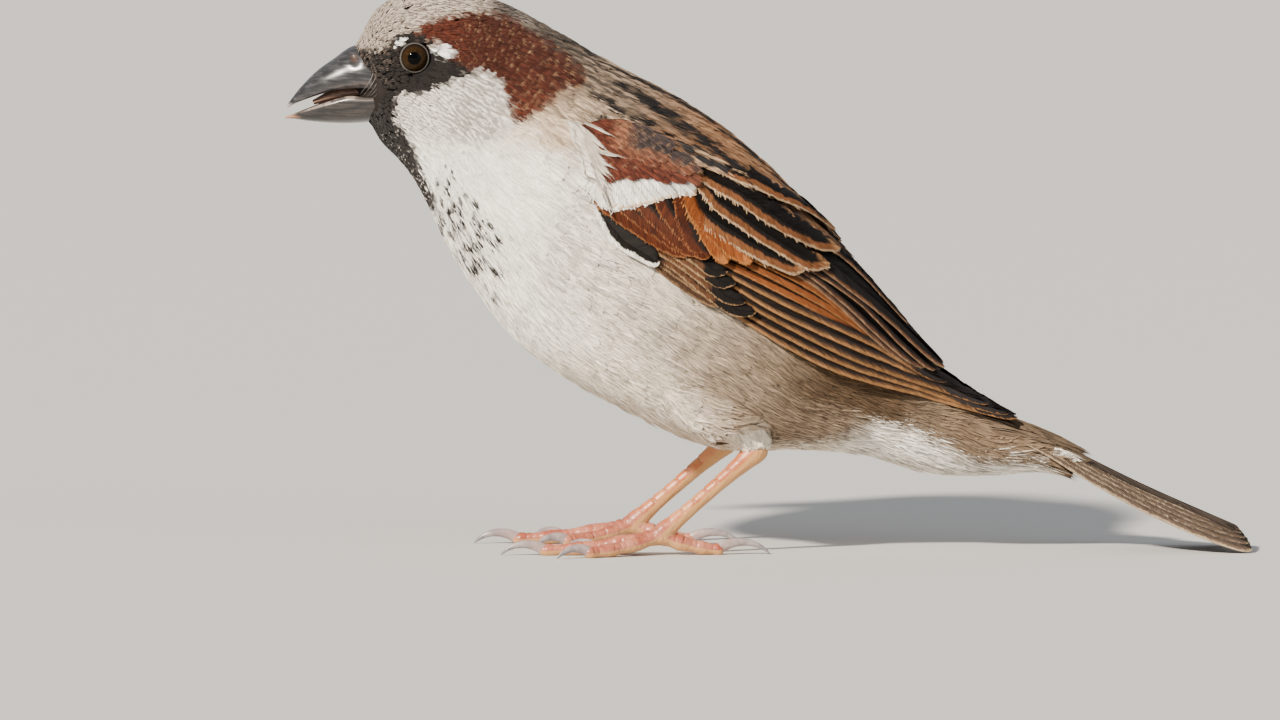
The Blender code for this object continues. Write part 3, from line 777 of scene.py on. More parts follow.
def addSheet(store, points, faces, values):  # the points of a sheet, and what is known at each of them
    store["points"].append(points.reshape(-1, 3))
    store["faces"] += faces
    store["count"] += points.size // 3
    for label, value in values.items():
        store[label].append(np.broadcast_to(value, points.shape[:-1]).ravel())


def addBarbs(store, points, k, reach, length, feather, rng):  # fine strips side by side across a vane
    rows, columns = points.shape[:2]
    total, shaft, slant, steps = length[-1], feather["shaft"], feather["slant"], barbs["steps"]
    count = max(int(total / barbs["pitch"]), 6)
    normal = unit(np.cross(np.gradient(points, axis=1), np.gradient(points, axis=0)))
    normal *= np.sign(normal[..., 1:2] * points[..., 1:2] + 0.3 * normal[..., 2:3])
    knots = np.arange(0, count + 3, 3)
    slow = np.interp(np.arange(count), knots, rng.normal(0, 1, len(knots)))
    share = np.linspace(0, 1, steps)
    for web in (-shaft, 1 - shaft):  # the outer web, then the inner
        start = np.linspace(-0.05, 1.0, count) * total + rng.normal(0, 0.04, count)
        shade = barbs["clump"] * slow + (1 - barbs["clump"]) * rng.normal(0, 1, count)
        wide = (np.interp(start, length, reach) * abs(web))[:, None]
        jut = 1 + feather["ragged"] * rng.normal(0.5, 1.0, count)[:, None] / np.maximum(wide, 0.4)
        limit = np.minimum(start[:, None] + slant * wide * share**0.85, total)
        v = shaft + web * share * (jut if web < 0 else 1) + np.zeros((count, 1))
        half = barbs["width"] * (1 - 0.75 * share**3)
        strips = []
        for edge in (-1, 1):
            row = np.interp(np.clip(limit + edge * half, 0, total), length, np.arange(rows))
            spot = onGrid(points, row, v * (columns - 1))
            up = onGrid(normal, row, np.clip(v, 0, 1) * (columns - 1))
            strips.append(spot + up * (barbs["over"] + edge * barbs["edgeUp"] * (1 - share))[..., None])
        before = store["count"]
        faces = [face for n in range(count) for face in gridFaces(steps, 2, first=before + n * steps * 2)]
        local = np.interp(limit, length, reach)
        values = {"across": v * local, "fromShaft": (v - shaft) * local, "along": np.interp(limit, length, k),
                  "barb": limit - slant * np.abs(v - shaft) * local + 40 * rng.random(),
                  "shade": shade[:, None], "inner": np.clip(v, 0, 1)}
        values = {label: value[..., None] for label, value in values.items()}
        addSheet(store, np.stack(strips, 2), faces, values)


def addVane(store, sheet, feather, side, rng):
    feather = {**vaneForm, **feather}
    rows, columns = feather["grid"]
    width, shaft = feather["width"], feather["shaft"]
    k, v = np.linspace(0, 1, rows) ** 0.9, np.linspace(0, 1, columns)
    path = splineAt(feather["edge"], k)
    s, t = path.T
    centre = sheet(s, t, 0, side)
    length = lengthAlong(centre)

    # the steps in s and t that lead one millimetre in from the outer edge, square to it
    step = 0.004
    alongS = (sheet(s + step, t, 0, side) - centre) / step
    alongT = (sheet(s, t + step, 0, side) - centre) / step
    heading = np.gradient(path, k, axis=0)
    tangent = unit(alongS * heading[:, :1] + alongT * heading[:, 1:])
    inward = np.cross(tangent, unit(np.cross(alongS, alongT)))
    inward *= np.where((inward * alongT).sum(1, keepdims=True) > 0, -1, 1)
    ss, tt, st = (alongS**2).sum(1), (alongT**2).sum(1), (alongS * alongT).sum(1)
    ps, pt = (inward * alongS).sum(1), (inward * alongT).sum(1)
    det = np.maximum(ss * tt - st**2, 1e-6)
    stepS, stepT = (ps * tt - pt * st) / det, (pt * ss - ps * st) / det

    # the width at each place: narrow at the root, rounded at the tip, ragged at the outer edge
    body = feather["rootWidth"] + (1 - feather["rootWidth"]) * ramp(k, 0, 0.4)
    start = feather["roundFrom"]
    end = np.sqrt(np.maximum(1 - np.clip((k - start) / (1 - start), 0, 1) ** 2, 0))
    reach = width * body * np.maximum(end, 0.03)
    inset = feather["roundOut"] * width * (1 - np.sqrt(1 - np.clip((k - 0.86) / 0.14, 0, 1) ** 2 * 0.98))
    frayed = feather["ragged"] * (rng.random((rows, 1)) - 0.3) * (1 - v) ** 4 * ramp(k, 0.1, 0.3)[:, None]
    offset = inset[:, None] + reach[:, None] * v - frayed
    gridS = np.maximum(s[:, None] + stepS[:, None] * offset, feather["least"][0])
    gridT = np.maximum(t[:, None] + stepT[:, None] * offset, feather["least"][1])
    height = feather["height"] + feather["tilt"] * (1 - v) + feather["arch"] * 4 * v * (1 - v) * body[:, None]
    height = height + feather["rise"] * k[:, None] ** 2 - feather["sink"] * fade(k, 0, 0.35)[:, None]
    points = sheet(gridS, gridT, height, side)

    before = store["count"]
    barb = length[:, None] - np.abs(v - shaft) * reach[:, None] * 1.5 + 40 * rng.random()
    addSheet(store, points, gridFaces(rows, columns, first=before), {
        "across": reach[:, None] * v, "fromShaft": reach[:, None] * (v - shaft), "along": k[:, None],
        "barb": barb, "shade": -0.8, "inner": v})
    addBarbs(store, points, k, reach, length, feather, rng)
    count = store["count"] - before
    store["patch"].append([len(store["patch"])] * count)
    for label in vaneColors:
        store[label].append(np.full((count, 3), feather[label]) * (1 + rng.normal(0, 0.07)))
    pattern = (feather["edgeWidth"], feather["coreStart"], feather["tipStart"])
    store["pattern"].append(np.full((count, 3), pattern))


def newStore():
    labels = ("points", "patch", "inner", "pattern", *vaneValues, *vaneColors)
    return {"count": 0, "faces": [], **{label: [] for label in labels}}


def finishVanes(name, store, material):  # joins the feathers; each has its own patch of the map
    count, faces = store.pop("count"), store.pop("faces")
    whole = {label: np.concatenate(parts) for label, parts in store.items()}
    obj = meshObject(name, whole["points"], faces, material)
    setAttributes(obj, **{label: whole[label] for label in (*vaneValues, *vaneColors, "pattern")})
    columns = math.ceil(math.sqrt(len(store["patch"])))
    across = (whole["patch"] % columns + 0.05 + 0.9 * whole["inner"]) / columns
    up = (whole["patch"] // columns + 0.04 + 0.92 * whole["along"]) / columns
    setUnwrap(obj, together(across, up))
    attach(obj, "root")
    print(f"{name}: {len(store['patch'])} feathers, {count} points, {2 * len(faces)} triangles")
    return obj


def vanePaintGroup():  # pale outer edge, web, dark middle and inner web, tip, with the barbs' fine lines
    group, wire, out = nodeGroup("vanePaint", ("Edge", "Web", "Core", "Tip"), {
        "Across": 0.0, "From shaft": 0.0, "Along": 0.0, "Barb": 0.0, "Edge width": 0.2, "Core start": 0.5,
        "Tip start": 2.0, "Barb contrast": 0.3, "Shade": 0.0})

    def streaks(frequency, slow, detail):
        place = {0: wire["Barb"] * frequency, 1: wire["From shaft"] * slow}
        return noise(Wire(addNode(group, "ShaderNodeCombineXYZ", place)), 1.0, detail) - 0.5

    coarse, fine = streaks(1.3, 0.25, 3), streaks(5.0, 0.4, 2)
    reach = wire["Across"] + coarse * 1.15 + wire["Shade"] * 0.07
    core = mapRange(reach, wire["Core start"], wire["Core start"] + 0.45)
    tip = mapRange(wire["Along"] + coarse * 0.10, wire["Tip start"], wire["Tip start"] + 0.06)
    narrowing = mapRange(tip, 0.0, 1.0, 1.0, 0.3)
    edge = mapRange(reach, wire["Edge width"] * narrowing, (wire["Edge width"] + 0.22) * narrowing, 1.0, 0.0)
    color = mixColor(tip, mixColor(core, wire["Web"], wire["Core"]), wire["Tip"])
    light = (fine + coarse * 0.8) * wire["Barb contrast"] + 1.0 + wire["Shade"] * 0.22
    shaft = mapRange(combine("ABSOLUTE", wire["From shaft"]), 0.04, 0.12, 0.5, 1.0)
    feed(out.inputs["Color"], scaled(mixColor(edge, color, wire["Edge"]), light * shaft))
    feed(out.inputs["Height"], fine + coarse)
    return group


vaneMaterial, vaneShader, vaneRelief = featherMaterial(
    "vaneFeathers", vanePaintGroup(), ("Edge width", "Core start", "Tip start"), {"Barb contrast": 1.1},
    (0.65, 0.12))
addBump(vaneShader, vaneRelief, 0.5, 0.00008)

ink = (0.009, 0.007, 0.006)
# colours of the edge, web, core and tip, the edge's width, where core and tip start, and raggedness
paintColumns = (*vaneColors, "edgeWidth", "coreStart", "tipStart", "ragged")
wingPaint = {
    "rufous": ((0.22, 0.080, 0.028), (0.060, 0.0135, 0.0040), (0.012, 0.007, 0.005),
               (0.15, 0.05, 0.014), 0.06, 1.2, 0.95, 0.10),
    "orange": ((0.38, 0.150, 0.042), (0.18, 0.046, 0.0095), ink, (0.36, 0.125, 0.032),
               0.07, 1.7, 0.86, 0.16),
    "banded": ((0.50, 0.33, 0.19), (0.17, 0.064, 0.024), (0.008, 0.006, 0.005), (0.36, 0.17, 0.070),
               0.14, 1.05, 0.90, 0.22),
    "brown": ((0.26, 0.15, 0.08), (0.060, 0.030, 0.016), ink, (0.12, 0.065, 0.035), 0.12, 0.8, 0.97, 0.08),
    "alula": ((0.86, 0.80, 0.70), (0.011, 0.008, 0.0065), (0.009, 0.007, 0.006), (0.30, 0.20, 0.14),
              0.46, 0.6, 0.97, 0.05),
    "primaryCovert": ((0.30, 0.18, 0.09), (0.09, 0.038, 0.017), ink, ink, 0.13, 0.7, 0.66, 0.05),
    "median": ((0.84, 0.78, 0.69), (0.84, 0.78, 0.70), (0.74, 0.67, 0.57), (0.55, 0.36, 0.20),
               0.1, 3.0, 0.90, 0.30),
    "tertial": ((0.30, 0.18, 0.10), (0.12, 0.05, 0.022), (0.011, 0.009, 0.008), (0.24, 0.16, 0.10),
                0.22, 0.60, 0.97, 0.12),
    "secondary": ((0.30, 0.18, 0.10), (0.09, 0.04, 0.02), (0.012, 0.009, 0.008), (0.26, 0.18, 0.12),
                  0.10, 0.40, 0.985, 0.05),
    "panel": ((0.25, 0.10, 0.033), (0.155, 0.046, 0.012), (0.014, 0.009, 0.006), (0.11, 0.065, 0.04),
              0.14, 0.85, 0.96, 0.06),
    "primary": ((0.28, 0.135, 0.052), (0.10, 0.05, 0.024), (0.018, 0.013, 0.011),
                (0.020, 0.016, 0.015), 0.26, 0.46, 0.80, 0.04),
}
flightForm = {"tilt": 0.30, "arch": 0.08, "roundFrom": 0.78, "sink": 0.2, "shaft": 0.3, "slant": 2.4}
shortForm = {"grid": (26, 8)}
wingForms = {"primary": flightForm, "secondary": flightForm, "panel": flightForm, "alula": shortForm,
             "primaryCovert": shortForm,
             "median": {**shortForm, "roundFrom": 0.5, "tilt": 0.18, "least": (0.02, 0.0)}}
# widths in mm, heights and rises, then the outer edge in s and t from root to tip, in hundredths
wingFeathers = {
    "primary": (
        (4.2, -1.5, 2.0, (330, 92), (404, 93), (500, 93), (570, 90), (638, 85), (724, 80), (810, 66)),
        (4.0, -1.3, 1.7, (330, 88), (404, 88), (518, 86.5), (582, 83), (638, 79), (710, 75), (785, 60)),
        (4.0, -1.1, 1.4, (330, 82), (400, 82), (512, 81), (578, 77.5), (634, 73.5), (694, 67), (750, 60)),
        (4.0, -0.9, 0.75, (330, 76), (396, 77), (518, 73), (572, 69), (620, 67), (668, 67), (710, 62)),
        (4.0, -0.7, 0.55, (290, 71), (392, 70), (496, 66), (552, 63), (614, 62), (650, 62), (684, 58)),
    ),
    "panel": (
        (4.0, -0.62, 0, (290, 66), (400, 63.5), (500, 62), (560, 61.5), (610, 61), (650, 59)),
        (4.0, -0.54, 0, (280, 60), (400, 57), (490, 57), (550, 59), (600, 60), (635, 60)),
        (4.0, -0.46, 0, (280, 55), (410, 50), (480, 52), (540, 56.5), (590, 59), (620, 60)),
    ),
    "secondary": (
        (4.0, -0.38, 0, (290, 50), (408, 45), (464, 48), (516, 55), (568, 60), (618, 62)),
        (4.0, -0.3, 0, (360, 45), (420, 40), (482, 45), (538, 52), (598, 57), (638, 57)),
        (4.5, -0.22, 0, (370, 41), (426, 35), (502, 35), (540, 39), (596, 47), (658, 51)),
    ),
    "tertial": (
        (6.2, -0.1, 0.1, (360, 30), (402, 26), (446, 28), (504, 30), (560, 30), (612, 33), (674, 37)),
        (3.6, 0.0, 0.0, (380, 14), (426, 9), (470, 5), (510, 3), (560, 3), (605, 6)),
        (2.2, 0.2, 0.0, (360, 0), (410, -8), (445, -12), (480, -13)),
    ),
    "brown": (
        (3.4, -0.9, 0, (30, 100), (90, 92), (136, 89), (186, 91), (230, 94), (310, 96)),
        (3.2, -0.75, 0, (60, 90), (120, 86), (170, 86), (220, 88.5), (300, 92)),
    ),
    "primaryCovert": (
        (3.0, -0.7, 0.1, (160, 90), (202, 86), (238, 86), (276, 90), (312, 92), (338, 92), (366, 86)),
        (2.8, -0.55, 0.1, (170, 82), (226, 81), (262, 83), (294, 86), (320, 88), (348, 84)),
        (2.8, -0.4, 0.1, (180, 78), (230, 77), (260, 79), (290, 81), (310, 81), (332, 75)),
        (2.6, -0.25, 0.1, (190, 74), (232, 73), (270, 75), (294, 77), (318, 71)),
    ),
    "alula": (
        (3.0, 0.0, 0, (35, 104), (58, 102), (102, 97), (156, 92.5), (196, 90.5), (212, 88)),
    ),
    "rufous": (
        (3.6, 0.14, 0.1, (20, 92), (72, 80), (110, 75), (156, 75), (184, 76), (232, 76), (258, 74)),
        (3.8, 0.17, 0.1, (50, 72), (100, 64), (144, 66), (166, 68), (190, 70), (236, 72), (262, 73)),
        (4.0, 0.19, 0.1, (100, 50), (144, 50), (164, 56), (196, 63), (230, 69), (268, 72.5)),
        (4.4, 0.21, 0.1, (140, 38), (188, 40), (206, 52), (220, 57), (240, 63), (270, 70)),
        (5.0, 0.23, 0.1, (190, 25), (228, 34), (234, 48), (242, 58), (258, 67), (280, 72)),
    ),
    "orange": (
        (4.0, 0.25, 0.1, (200, 22), (240, 31), (256, 46), (266, 52), (284, 61), (308, 68)),
        (4.0, 0.27, 0.1, (205, 25), (244, 38), (262, 47), (276, 52), (306, 58), (342, 60)),
    ),
    "banded": (
        (4.6, 0.3, 0.1, (210, 22), (248, 35), (278, 47), (312, 50), (354, 51.5), (398, 49), (420, 42)),
        (4.6, 0.33, 0.1, (230, 8), (272, 21), (290, 30), (326, 35), (362, 38), (418, 38), (458, 25)),
        (4.4, 0.37, 0.1, (250, 8), (288, 15), (328, 18), (362, 21), (398, 20.5), (436, 16), (474, 4)),
        (3.6, 0.4, 0.1, (280, -2), (314, 2), (350, 1), (386, -2), (420, -8), (470, -14)),
    ),
}


medianRow = {"count": 13, "width": 4.2, "height": (0.36, 0.44), "rise": 0.1,
             "roots": ((2, 86), (24, 54), (50, 44), (80, 34), (120, 25), (160, 16)),
             "tips": ((100, 70), (134, 64.5), (168, 56.5), (198, 48.5), (228, 39), (262, 30))}


def medianFeathers():  # the short pale feathers between the lesser and the greater coverts
    rows = []
    low, high = medianRow["height"]
    shares = np.linspace(0, 1, medianRow["count"])
    roots, tips = splineAt(medianRow["roots"], shares), splineAt(medianRow["tips"], shares)
    for share, root, end in zip(shares, roots, tips):
        edge = [root + (end - root) * k for k in (0, 0.33, 0.66, 1)]
        rows.append((medianRow["width"] - 0.8 * share, low + (high - low) * share, medianRow["rise"], *edge))
    return rows


def buildWing(side):
    rng = np.random.default_rng(61)
    store = newStore()
    for kind, rows in {**wingFeathers, "median": medianFeathers()}.items():
        paint = dict(zip(paintColumns, wingPaint[kind]))
        form = {"least": (0.0, -0.22), "grid": (46, 9), **wingForms.get(kind, {}), **paint}
        for width, height, rise, *edge in rows:
            feather = dict(form, edge=np.array(edge) / 100, width=width, height=height, rise=rise)
            addVane(store, wingSheet, feather, side, rng)
    return finishVanes("wingFeathers_" + side, store, vaneMaterial)


def buildWingBase(side):  # what lies under the feathers of the wing
    s, t = gridOf(np.linspace(-0.6, 7.6, 84), np.linspace(-0.1, 0.88, 24))
    outer = wingSheet(s, t, -1.7 - 1.2 * ramp(s, 0.1, -0.6), side).reshape(-1, 3)
    faces = facingOut(outer, gridFaces(*s.shape), (0, sides[side], 0))
    material, tree, shader = newMaterial("wingUnder_" + side, 0.8, 0.2)
    tone = mapRange(noise(objectPlace(tree), 500, 3), 0.35, 0.65)
    setColor(shader, mixColor(tone, (0.035, 0.022, 0.015), (0.10, 0.05, 0.03)))
    obj = meshObject("wingBase_" + side, outer, faces, material)
    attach(obj, "root")
    return obj


wingBases = {}
for side in sides:
    wingBases[side] = buildWingBase(side)
    wing = buildWing(side)
    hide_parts("wing_coverts_" + side, "tertials_" + side, "primaries_" + side)


# tail: twelve feathers stacked from the middle pair outwards

tail = {"start": 13.8, "end": 17.0, "perSide": 6, "layer": 0.12, "lift": 0.20, "rootHalf": 1.9,
        "tipHalf": 2.6, "rootSpread": 0.75, "tipSpread": 1.16, "middlePair": {"left": 0.05, "right": -0.45}}


def tailSheet(s, t, height, side):  # s runs 0..1 to the longest tip, t is millimetres from the middle line
    u = tail["start"] + (tail["end"] - tail["start"]) * s
    last = len(bodyRows) - 1
    slope = (rowAt(bodyRows, last) - rowAt(bodyRows, last - 0.1)) / 0.1
    row = rowAt(bodyRows, np.minimum(u, last)) + np.maximum(u - last, 0)[..., None] * slope
    droop = (row[..., 6] + 0.5) * (t / row[..., 4]) ** 2
    level = np.maximum(row[..., 1] - droop + tail["lift"] + height, 0.03)
    return together(row[..., 0], t * sides[side], level)


tailPaint = ((0.42, 0.31, 0.20), (0.115, 0.075, 0.05), (0.05, 0.036, 0.027), (0.30, 0.22, 0.15),
             0.28, 0.7, 0.975, 0.03)


def buildTail():
    rng = np.random.default_rng(71)
    store = newStore()
    share = np.linspace(0, 1, 8)
    half = tail["rootHalf"] + (tail["tipHalf"] - tail["rootHalf"]) * share
    form = {"width": 2 * half[-1], "rise": -0.05, "tilt": -0.05, "arch": 0.14, "rootWidth": 0.7,
            "roundFrom": 0.90, "sink": 1.3, "shaft": 0.35, "slant": 1.8, "grid": (40, 10),
            **dict(zip(paintColumns, tailPaint))}
    for side in sides:
        under = 0.04 if side == "right" else 0.0  # each right feather lies just below the left one
        for k in reversed(range(tail["perSide"])):
            middle = k * (tail["rootSpread"] * (1 - share) + tail["tipSpread"] * share)
            if k == 0:
                middle = middle + tail["middlePair"][side]
            reach = 0.962 + 0.006 * k + 0.010 * max(k - 2, 0)
            edge = together(share * reach, middle + half)
            edge[-1, 1] -= 0.9
            addVane(store, tailSheet, dict(form, edge=edge, height=-tail["layer"] * k - under), side, rng)
    obj = finishVanes("tailFeathers", store, vaneMaterial)
    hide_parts("tail")


buildTail()


def buildTailBase(name, middle):  # half of the tapering root of the tail, which its coverts lie on
    u, a = gridOf(np.linspace(11.6, 15.7, 44), middle + np.linspace(-1.95, 1.95, 34))
    points, _, _, outward = bodyFrame(u, a, -coatDepth(u))
    points[..., 2] += rowAt(bodyRows, u)[..., 6] * np.cos(a) ** 2 * 0.7
    points[..., 1] *= 1 - 0.42 * ramp(u, 12.8, 15.2)
    points, outward = points.reshape(-1, 3), outward.reshape(-1, 3)
    faces = gridFaces(*u.shape)
    obj = meshObject(name, points, facingOut(points, faces, outward[np.array(faces)[:, 0]]), skinMaterial)
    paint = markings(u.ravel(), a.ravel(), np.random.default_rng(15))
    setAttributes(obj, webColor=paint["webColor"] * 0.8)
    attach(obj, "root")
    return obj


tailTop = buildTailBase("tailRootUpper", np.pi / 2)
tailUnder = buildTailBase("tailRootLower", -np.pi / 2)


# bill: two horny sheaths, a nostril and the tongue between them

billRows = {  # ridge or keel x z, cutting edge x z, half width
    "bill_upper": ((-57.0, 76.4, -55.2, 69.0, 4.5), (-61.4, 75.7, -58.6, 69.7, 4.3),
                   (-64.3, 73.8, -61.6, 69.7, 3.6), (-66.9, 71.9, -64.6, 69.2, 2.8),
                   (-69.2, 69.6, -67.7, 68.2, 1.7), (-70.7, 67.7, -70.1, 67.2, 0.8),
                   (-71.5, 66.6, -71.3, 66.4, 0.3)),
    "bill_lower": ((-56.0, 64.8, -55.4, 68.3, 4.3), (-58.6, 64.3, -59.0, 67.9, 4.0),
                   (-61.8, 64.1, -62.0, 68.1, 3.4), (-65.0, 64.15, -65.0, 67.3, 2.7),
                   (-68.0, 64.4, -67.8, 66.3, 1.8), (-70.1, 64.7, -70.0, 65.5, 0.9),
                   (-71.6, 64.8, -71.6, 65.0, 0.3)),
}
billForm = {"steps": 90, "around": 48, "lip": 0.28, "hollow": 0.45, "nostril": (-61.2, 73.9, 0.7)}


def buildBill(node):
    rows = np.array(billRows[node])
    steps, around = billForm["steps"], billForm["around"]
    k = np.linspace(0, len(rows) - 1, steps)
    row = rowAt(rows, k)[:, None, :]
    ridge = together(row[..., 0], 0, row[..., 1])
    edge = together(row[..., 2], 0, row[..., 3])
    up = unit(ridge - edge)
    height = np.linalg.norm(ridge - edge, axis=-1)
    turn = turnsOf(around)[None, :]
    sine, cosine = np.sin(turn), np.cos(turn)
    keel = bell(cosine, 0.2) * (sine > 0)
    rise = np.where(sine > 0, np.abs(sine) ** 0.85 - 0.02 + 0.02 * keel,
                    billForm["hollow"] * np.abs(sine) * 0.6)
    lip = billForm["lip"] * bell(sine, 0.18) * np.minimum(row[..., 4], 1.2) / 1.2
    points = edge + up * (height * rise - 0.5 * lip)[..., None]
    points[..., 1] = row[..., 4] * cosine * (1 + 0.02 * lip)
    x, z, size = billForm["nostril"]
    away = (points[..., 0] - x) ** 2 + (points[..., 2] - z) ** 2
    dent = np.exp(-away / size**2) * (node == "bill_upper")
    points[..., 1] -= np.sign(points[..., 1]) * 0.5 * dent * (sine > 0)
    points = points.reshape(-1, 3)
    obj = meshObject(node + "_horn", points, tubeFaces(steps, around), hornMaterial(node))
    forward = np.repeat(k / k[-1], around)
    level, inside = np.where(sine > 0, rise, 0), ramp(-sine, 0.0, 0.35)
    setAttributes(obj, forward=forward, nostril=(dent * (sine > 0)).ravel(), level=np.tile(level[0], steps),
                  inside=np.tile(inside[0], steps))
    setUnwrap(obj, together(np.tile(np.arange(around) / around, steps), forward))
    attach(obj, "root")
    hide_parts(node)


hornPaint = {
    "bill_upper": {"dark": (0.018, 0.0172, 0.0180), "pale": (0.060, 0.056, 0.058), "tip": (0.42, 0.36, 0.33),
                   "edge": (0.11, 0.085, 0.08), "tipStart": 0.80, "turn": -40},
    "bill_lower": {"dark": (0.013, 0.012, 0.012), "pale": (0.055, 0.044, 0.038), "tip": (0.60, 0.29, 0.17),
                   "edge": (0.32, 0.25, 0.21), "tipStart": 0.74, "turn": -8},
    "nostril": (0.060, 0.032, 0.022),
    "inside": (0.08, 0.035, 0.03),
}


def hornMaterial(node):
    paint = hornPaint[node]
    gloss = {"Coat Weight": 0.5, "Coat Roughness": 0.22}
    material, tree, shader = newMaterial(node + "Horn", 0.26, 0.45, gloss)
    place = objectPlace(tree)
    turned = {"Vector": place, "Rotation": (0, math.radians(paint["turn"]), 0), "Scale": (0.2, 1, 2.0)}
    grain = noise(Wire(addNode(tree, "ShaderNodeMapping", turned)), 1100, 5)
    tipShade = attribute(tree, "forward") + (grain - 0.5) * 0.3
    edge = mapRange(attribute(tree, "level"), 0.05, 0.20, 1.0, 0.0)
    patches = mapRange(noise(place, 700, 3), 0.42, 0.58, 0.25, 0.95)
    color = mixColor(mapRange(grain, 0.4, 0.75), paint["dark"], paint["pale"])
    color = mixColor(mapRange(tipShade, paint["tipStart"], 1.0, 0.0, 0.9), color, paint["tip"])
    color = mixColor(edge * patches, color, paint["edge"])
    color = mixColor(mapRange(attribute(tree, "nostril"), 0.2, 0.8), color, hornPaint["nostril"])
    color = mixColor(attribute(tree, "inside"), color, hornPaint["inside"])
    setColor(shader, color)
    feed(shader.inputs["Roughness"], mapRange(grain, 0.3, 0.75, 0.20, 0.34))
    addBump(shader, grain, 0.3, 0.0001)
    return material


def tubeAlong(path, radii, around, flatten=1.0):
    path, radii = np.asarray(path, float), np.asarray(radii, float)
    tangent = unit(np.gradient(path, axis=0))
    side = unit(np.cross(tangent, upward) + np.array([0, 1e-6, 0]))
    up = np.cross(side, tangent)
    turn = turnsOf(around)
    ring = side[:, None] * np.cos(turn)[None, :, None] * flatten + up[:, None] * np.sin(turn)[None, :, None]
    points = (path[:, None] + ring * radii[:, None, None]).reshape(-1, 3)
    return points, tubeFaces(len(path), around)


def joinTubes(tubes):
    points, faces, first = [], [], 0
    for tubePoints, tubeFaces in tubes:
        points.append(tubePoints)
        faces += [tuple(v + first for v in face) for face in tubeFaces]
        first += len(tubePoints)
    return np.concatenate(points), faces


def buildTongue():
    rows = np.array(((-56.5, 68.8, 1.9), (-60.5, 68.85, 2.1), (-64.2, 68.35, 1.8), (-67.4, 67.2, 0.8)))
    x, z, half = rowAt(rows, np.linspace(0, 3, 30)).T
    thin = 0.46  # thickness as a share of the width
    material, tree, shader = newMaterial("tongueFlesh", 0.35, 0.5)
    tone = noise(objectPlace(tree), 1200, 3)
    setColor(shader, mixColor(tone, (0.10, 0.05, 0.04), (0.30, 0.19, 0.13)))
    addBump(shader, tone, 0.4, 0.0001)
    obj = meshObject("tongueFlesh", *tubeAlong(together(x, 0, z), half * thin, 24, 1 / thin), material)
    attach(obj, "root")
    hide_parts("tongue")


for node in billRows:
    buildBill(node)
buildTongue()
print("bill and tongue made")


# eyes, their lids and the bristles at the gape

eyeForm = {"iris": 52.0, "pupil": 21.5, "cornea": 0.16, "lidInner": 52.0, "lidOuter": 62.5, "beads": 38,
           "tilt": (-0.015, 0.0)}


def eyeAxis(side):  # outward and a little forward, as a sparrow's eyes are set
    forward, up = eyeForm["tilt"]
    axis = unit(np.array([forward, sides[side], up]))
    right = unit(np.cross(axis, upward))
    return axis, right, np.cross(right, axis)


def eyePoints(side, polar, turn, radius):  # polar angle in degrees from the pupil's middle
    axis, right, up = eyeAxis(side)
    centre = np.array([eyeCentre[0], abs(eyeCentre[1]) * sides[side], eyeCentre[2]])
    polar, turn, radius = np.radians(polar)[..., None], turn[..., None], np.asarray(radius)[..., None]
    ring = right * np.cos(turn) + up * np.sin(turn)
    return centre + (axis * np.cos(polar) + ring * np.sin(polar)) * radius


def buildEye(side):
    polar, turn = gridOf(np.linspace(1.5, 178, 64), turnsOf(64))
    bulge = eyeForm["cornea"] * fade(polar, 0, eyeForm["iris"])
    points = eyePoints(side, polar, turn, eyeRadius - eyeForm["cornea"] + bulge).reshape(-1, 3)
    obj = meshObject("eyeball_" + side, points, tubeFaces(*polar.shape), eyeMaterial(side))
    setAttributes(obj, polar=polar.ravel(), turn=np.abs(np.sin(turn * 0.5)).ravel())
    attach(obj, "root")
    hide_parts("eye_" + side)


def eyeMaterial(side):
    gloss = {"Coat Weight": 0.14, "Coat Roughness": 0.02}
    material, tree, shader = newMaterial("eyeGloss_" + side, 0.10, 0.02, gloss)
    polar = attribute(tree, "polar")
    place = addNode(tree, "ShaderNodeCombineXYZ", {0: attribute(tree, "turn") * 40.0, 1: polar * 0.05})
    fibres = mapRange(noise(Wire(place), 1.0, 4), 0.3, 0.7)
    iris = mixColor(fibres, (0.012, 0.0062, 0.0022), (0.034, 0.0175, 0.006))
    iris = mixColor(mapRange(polar, eyeForm["iris"] - 12, eyeForm["iris"] - 2), iris, (0.010, 0.006, 0.004))
    pupil = mapRange(polar, eyeForm["pupil"] - 0.8, eyeForm["pupil"] + 0.8, 1.0, 0.0)
    setColor(shader, mixColor(pupil, iris, (0.0006, 0.0006, 0.0008)))
    return material


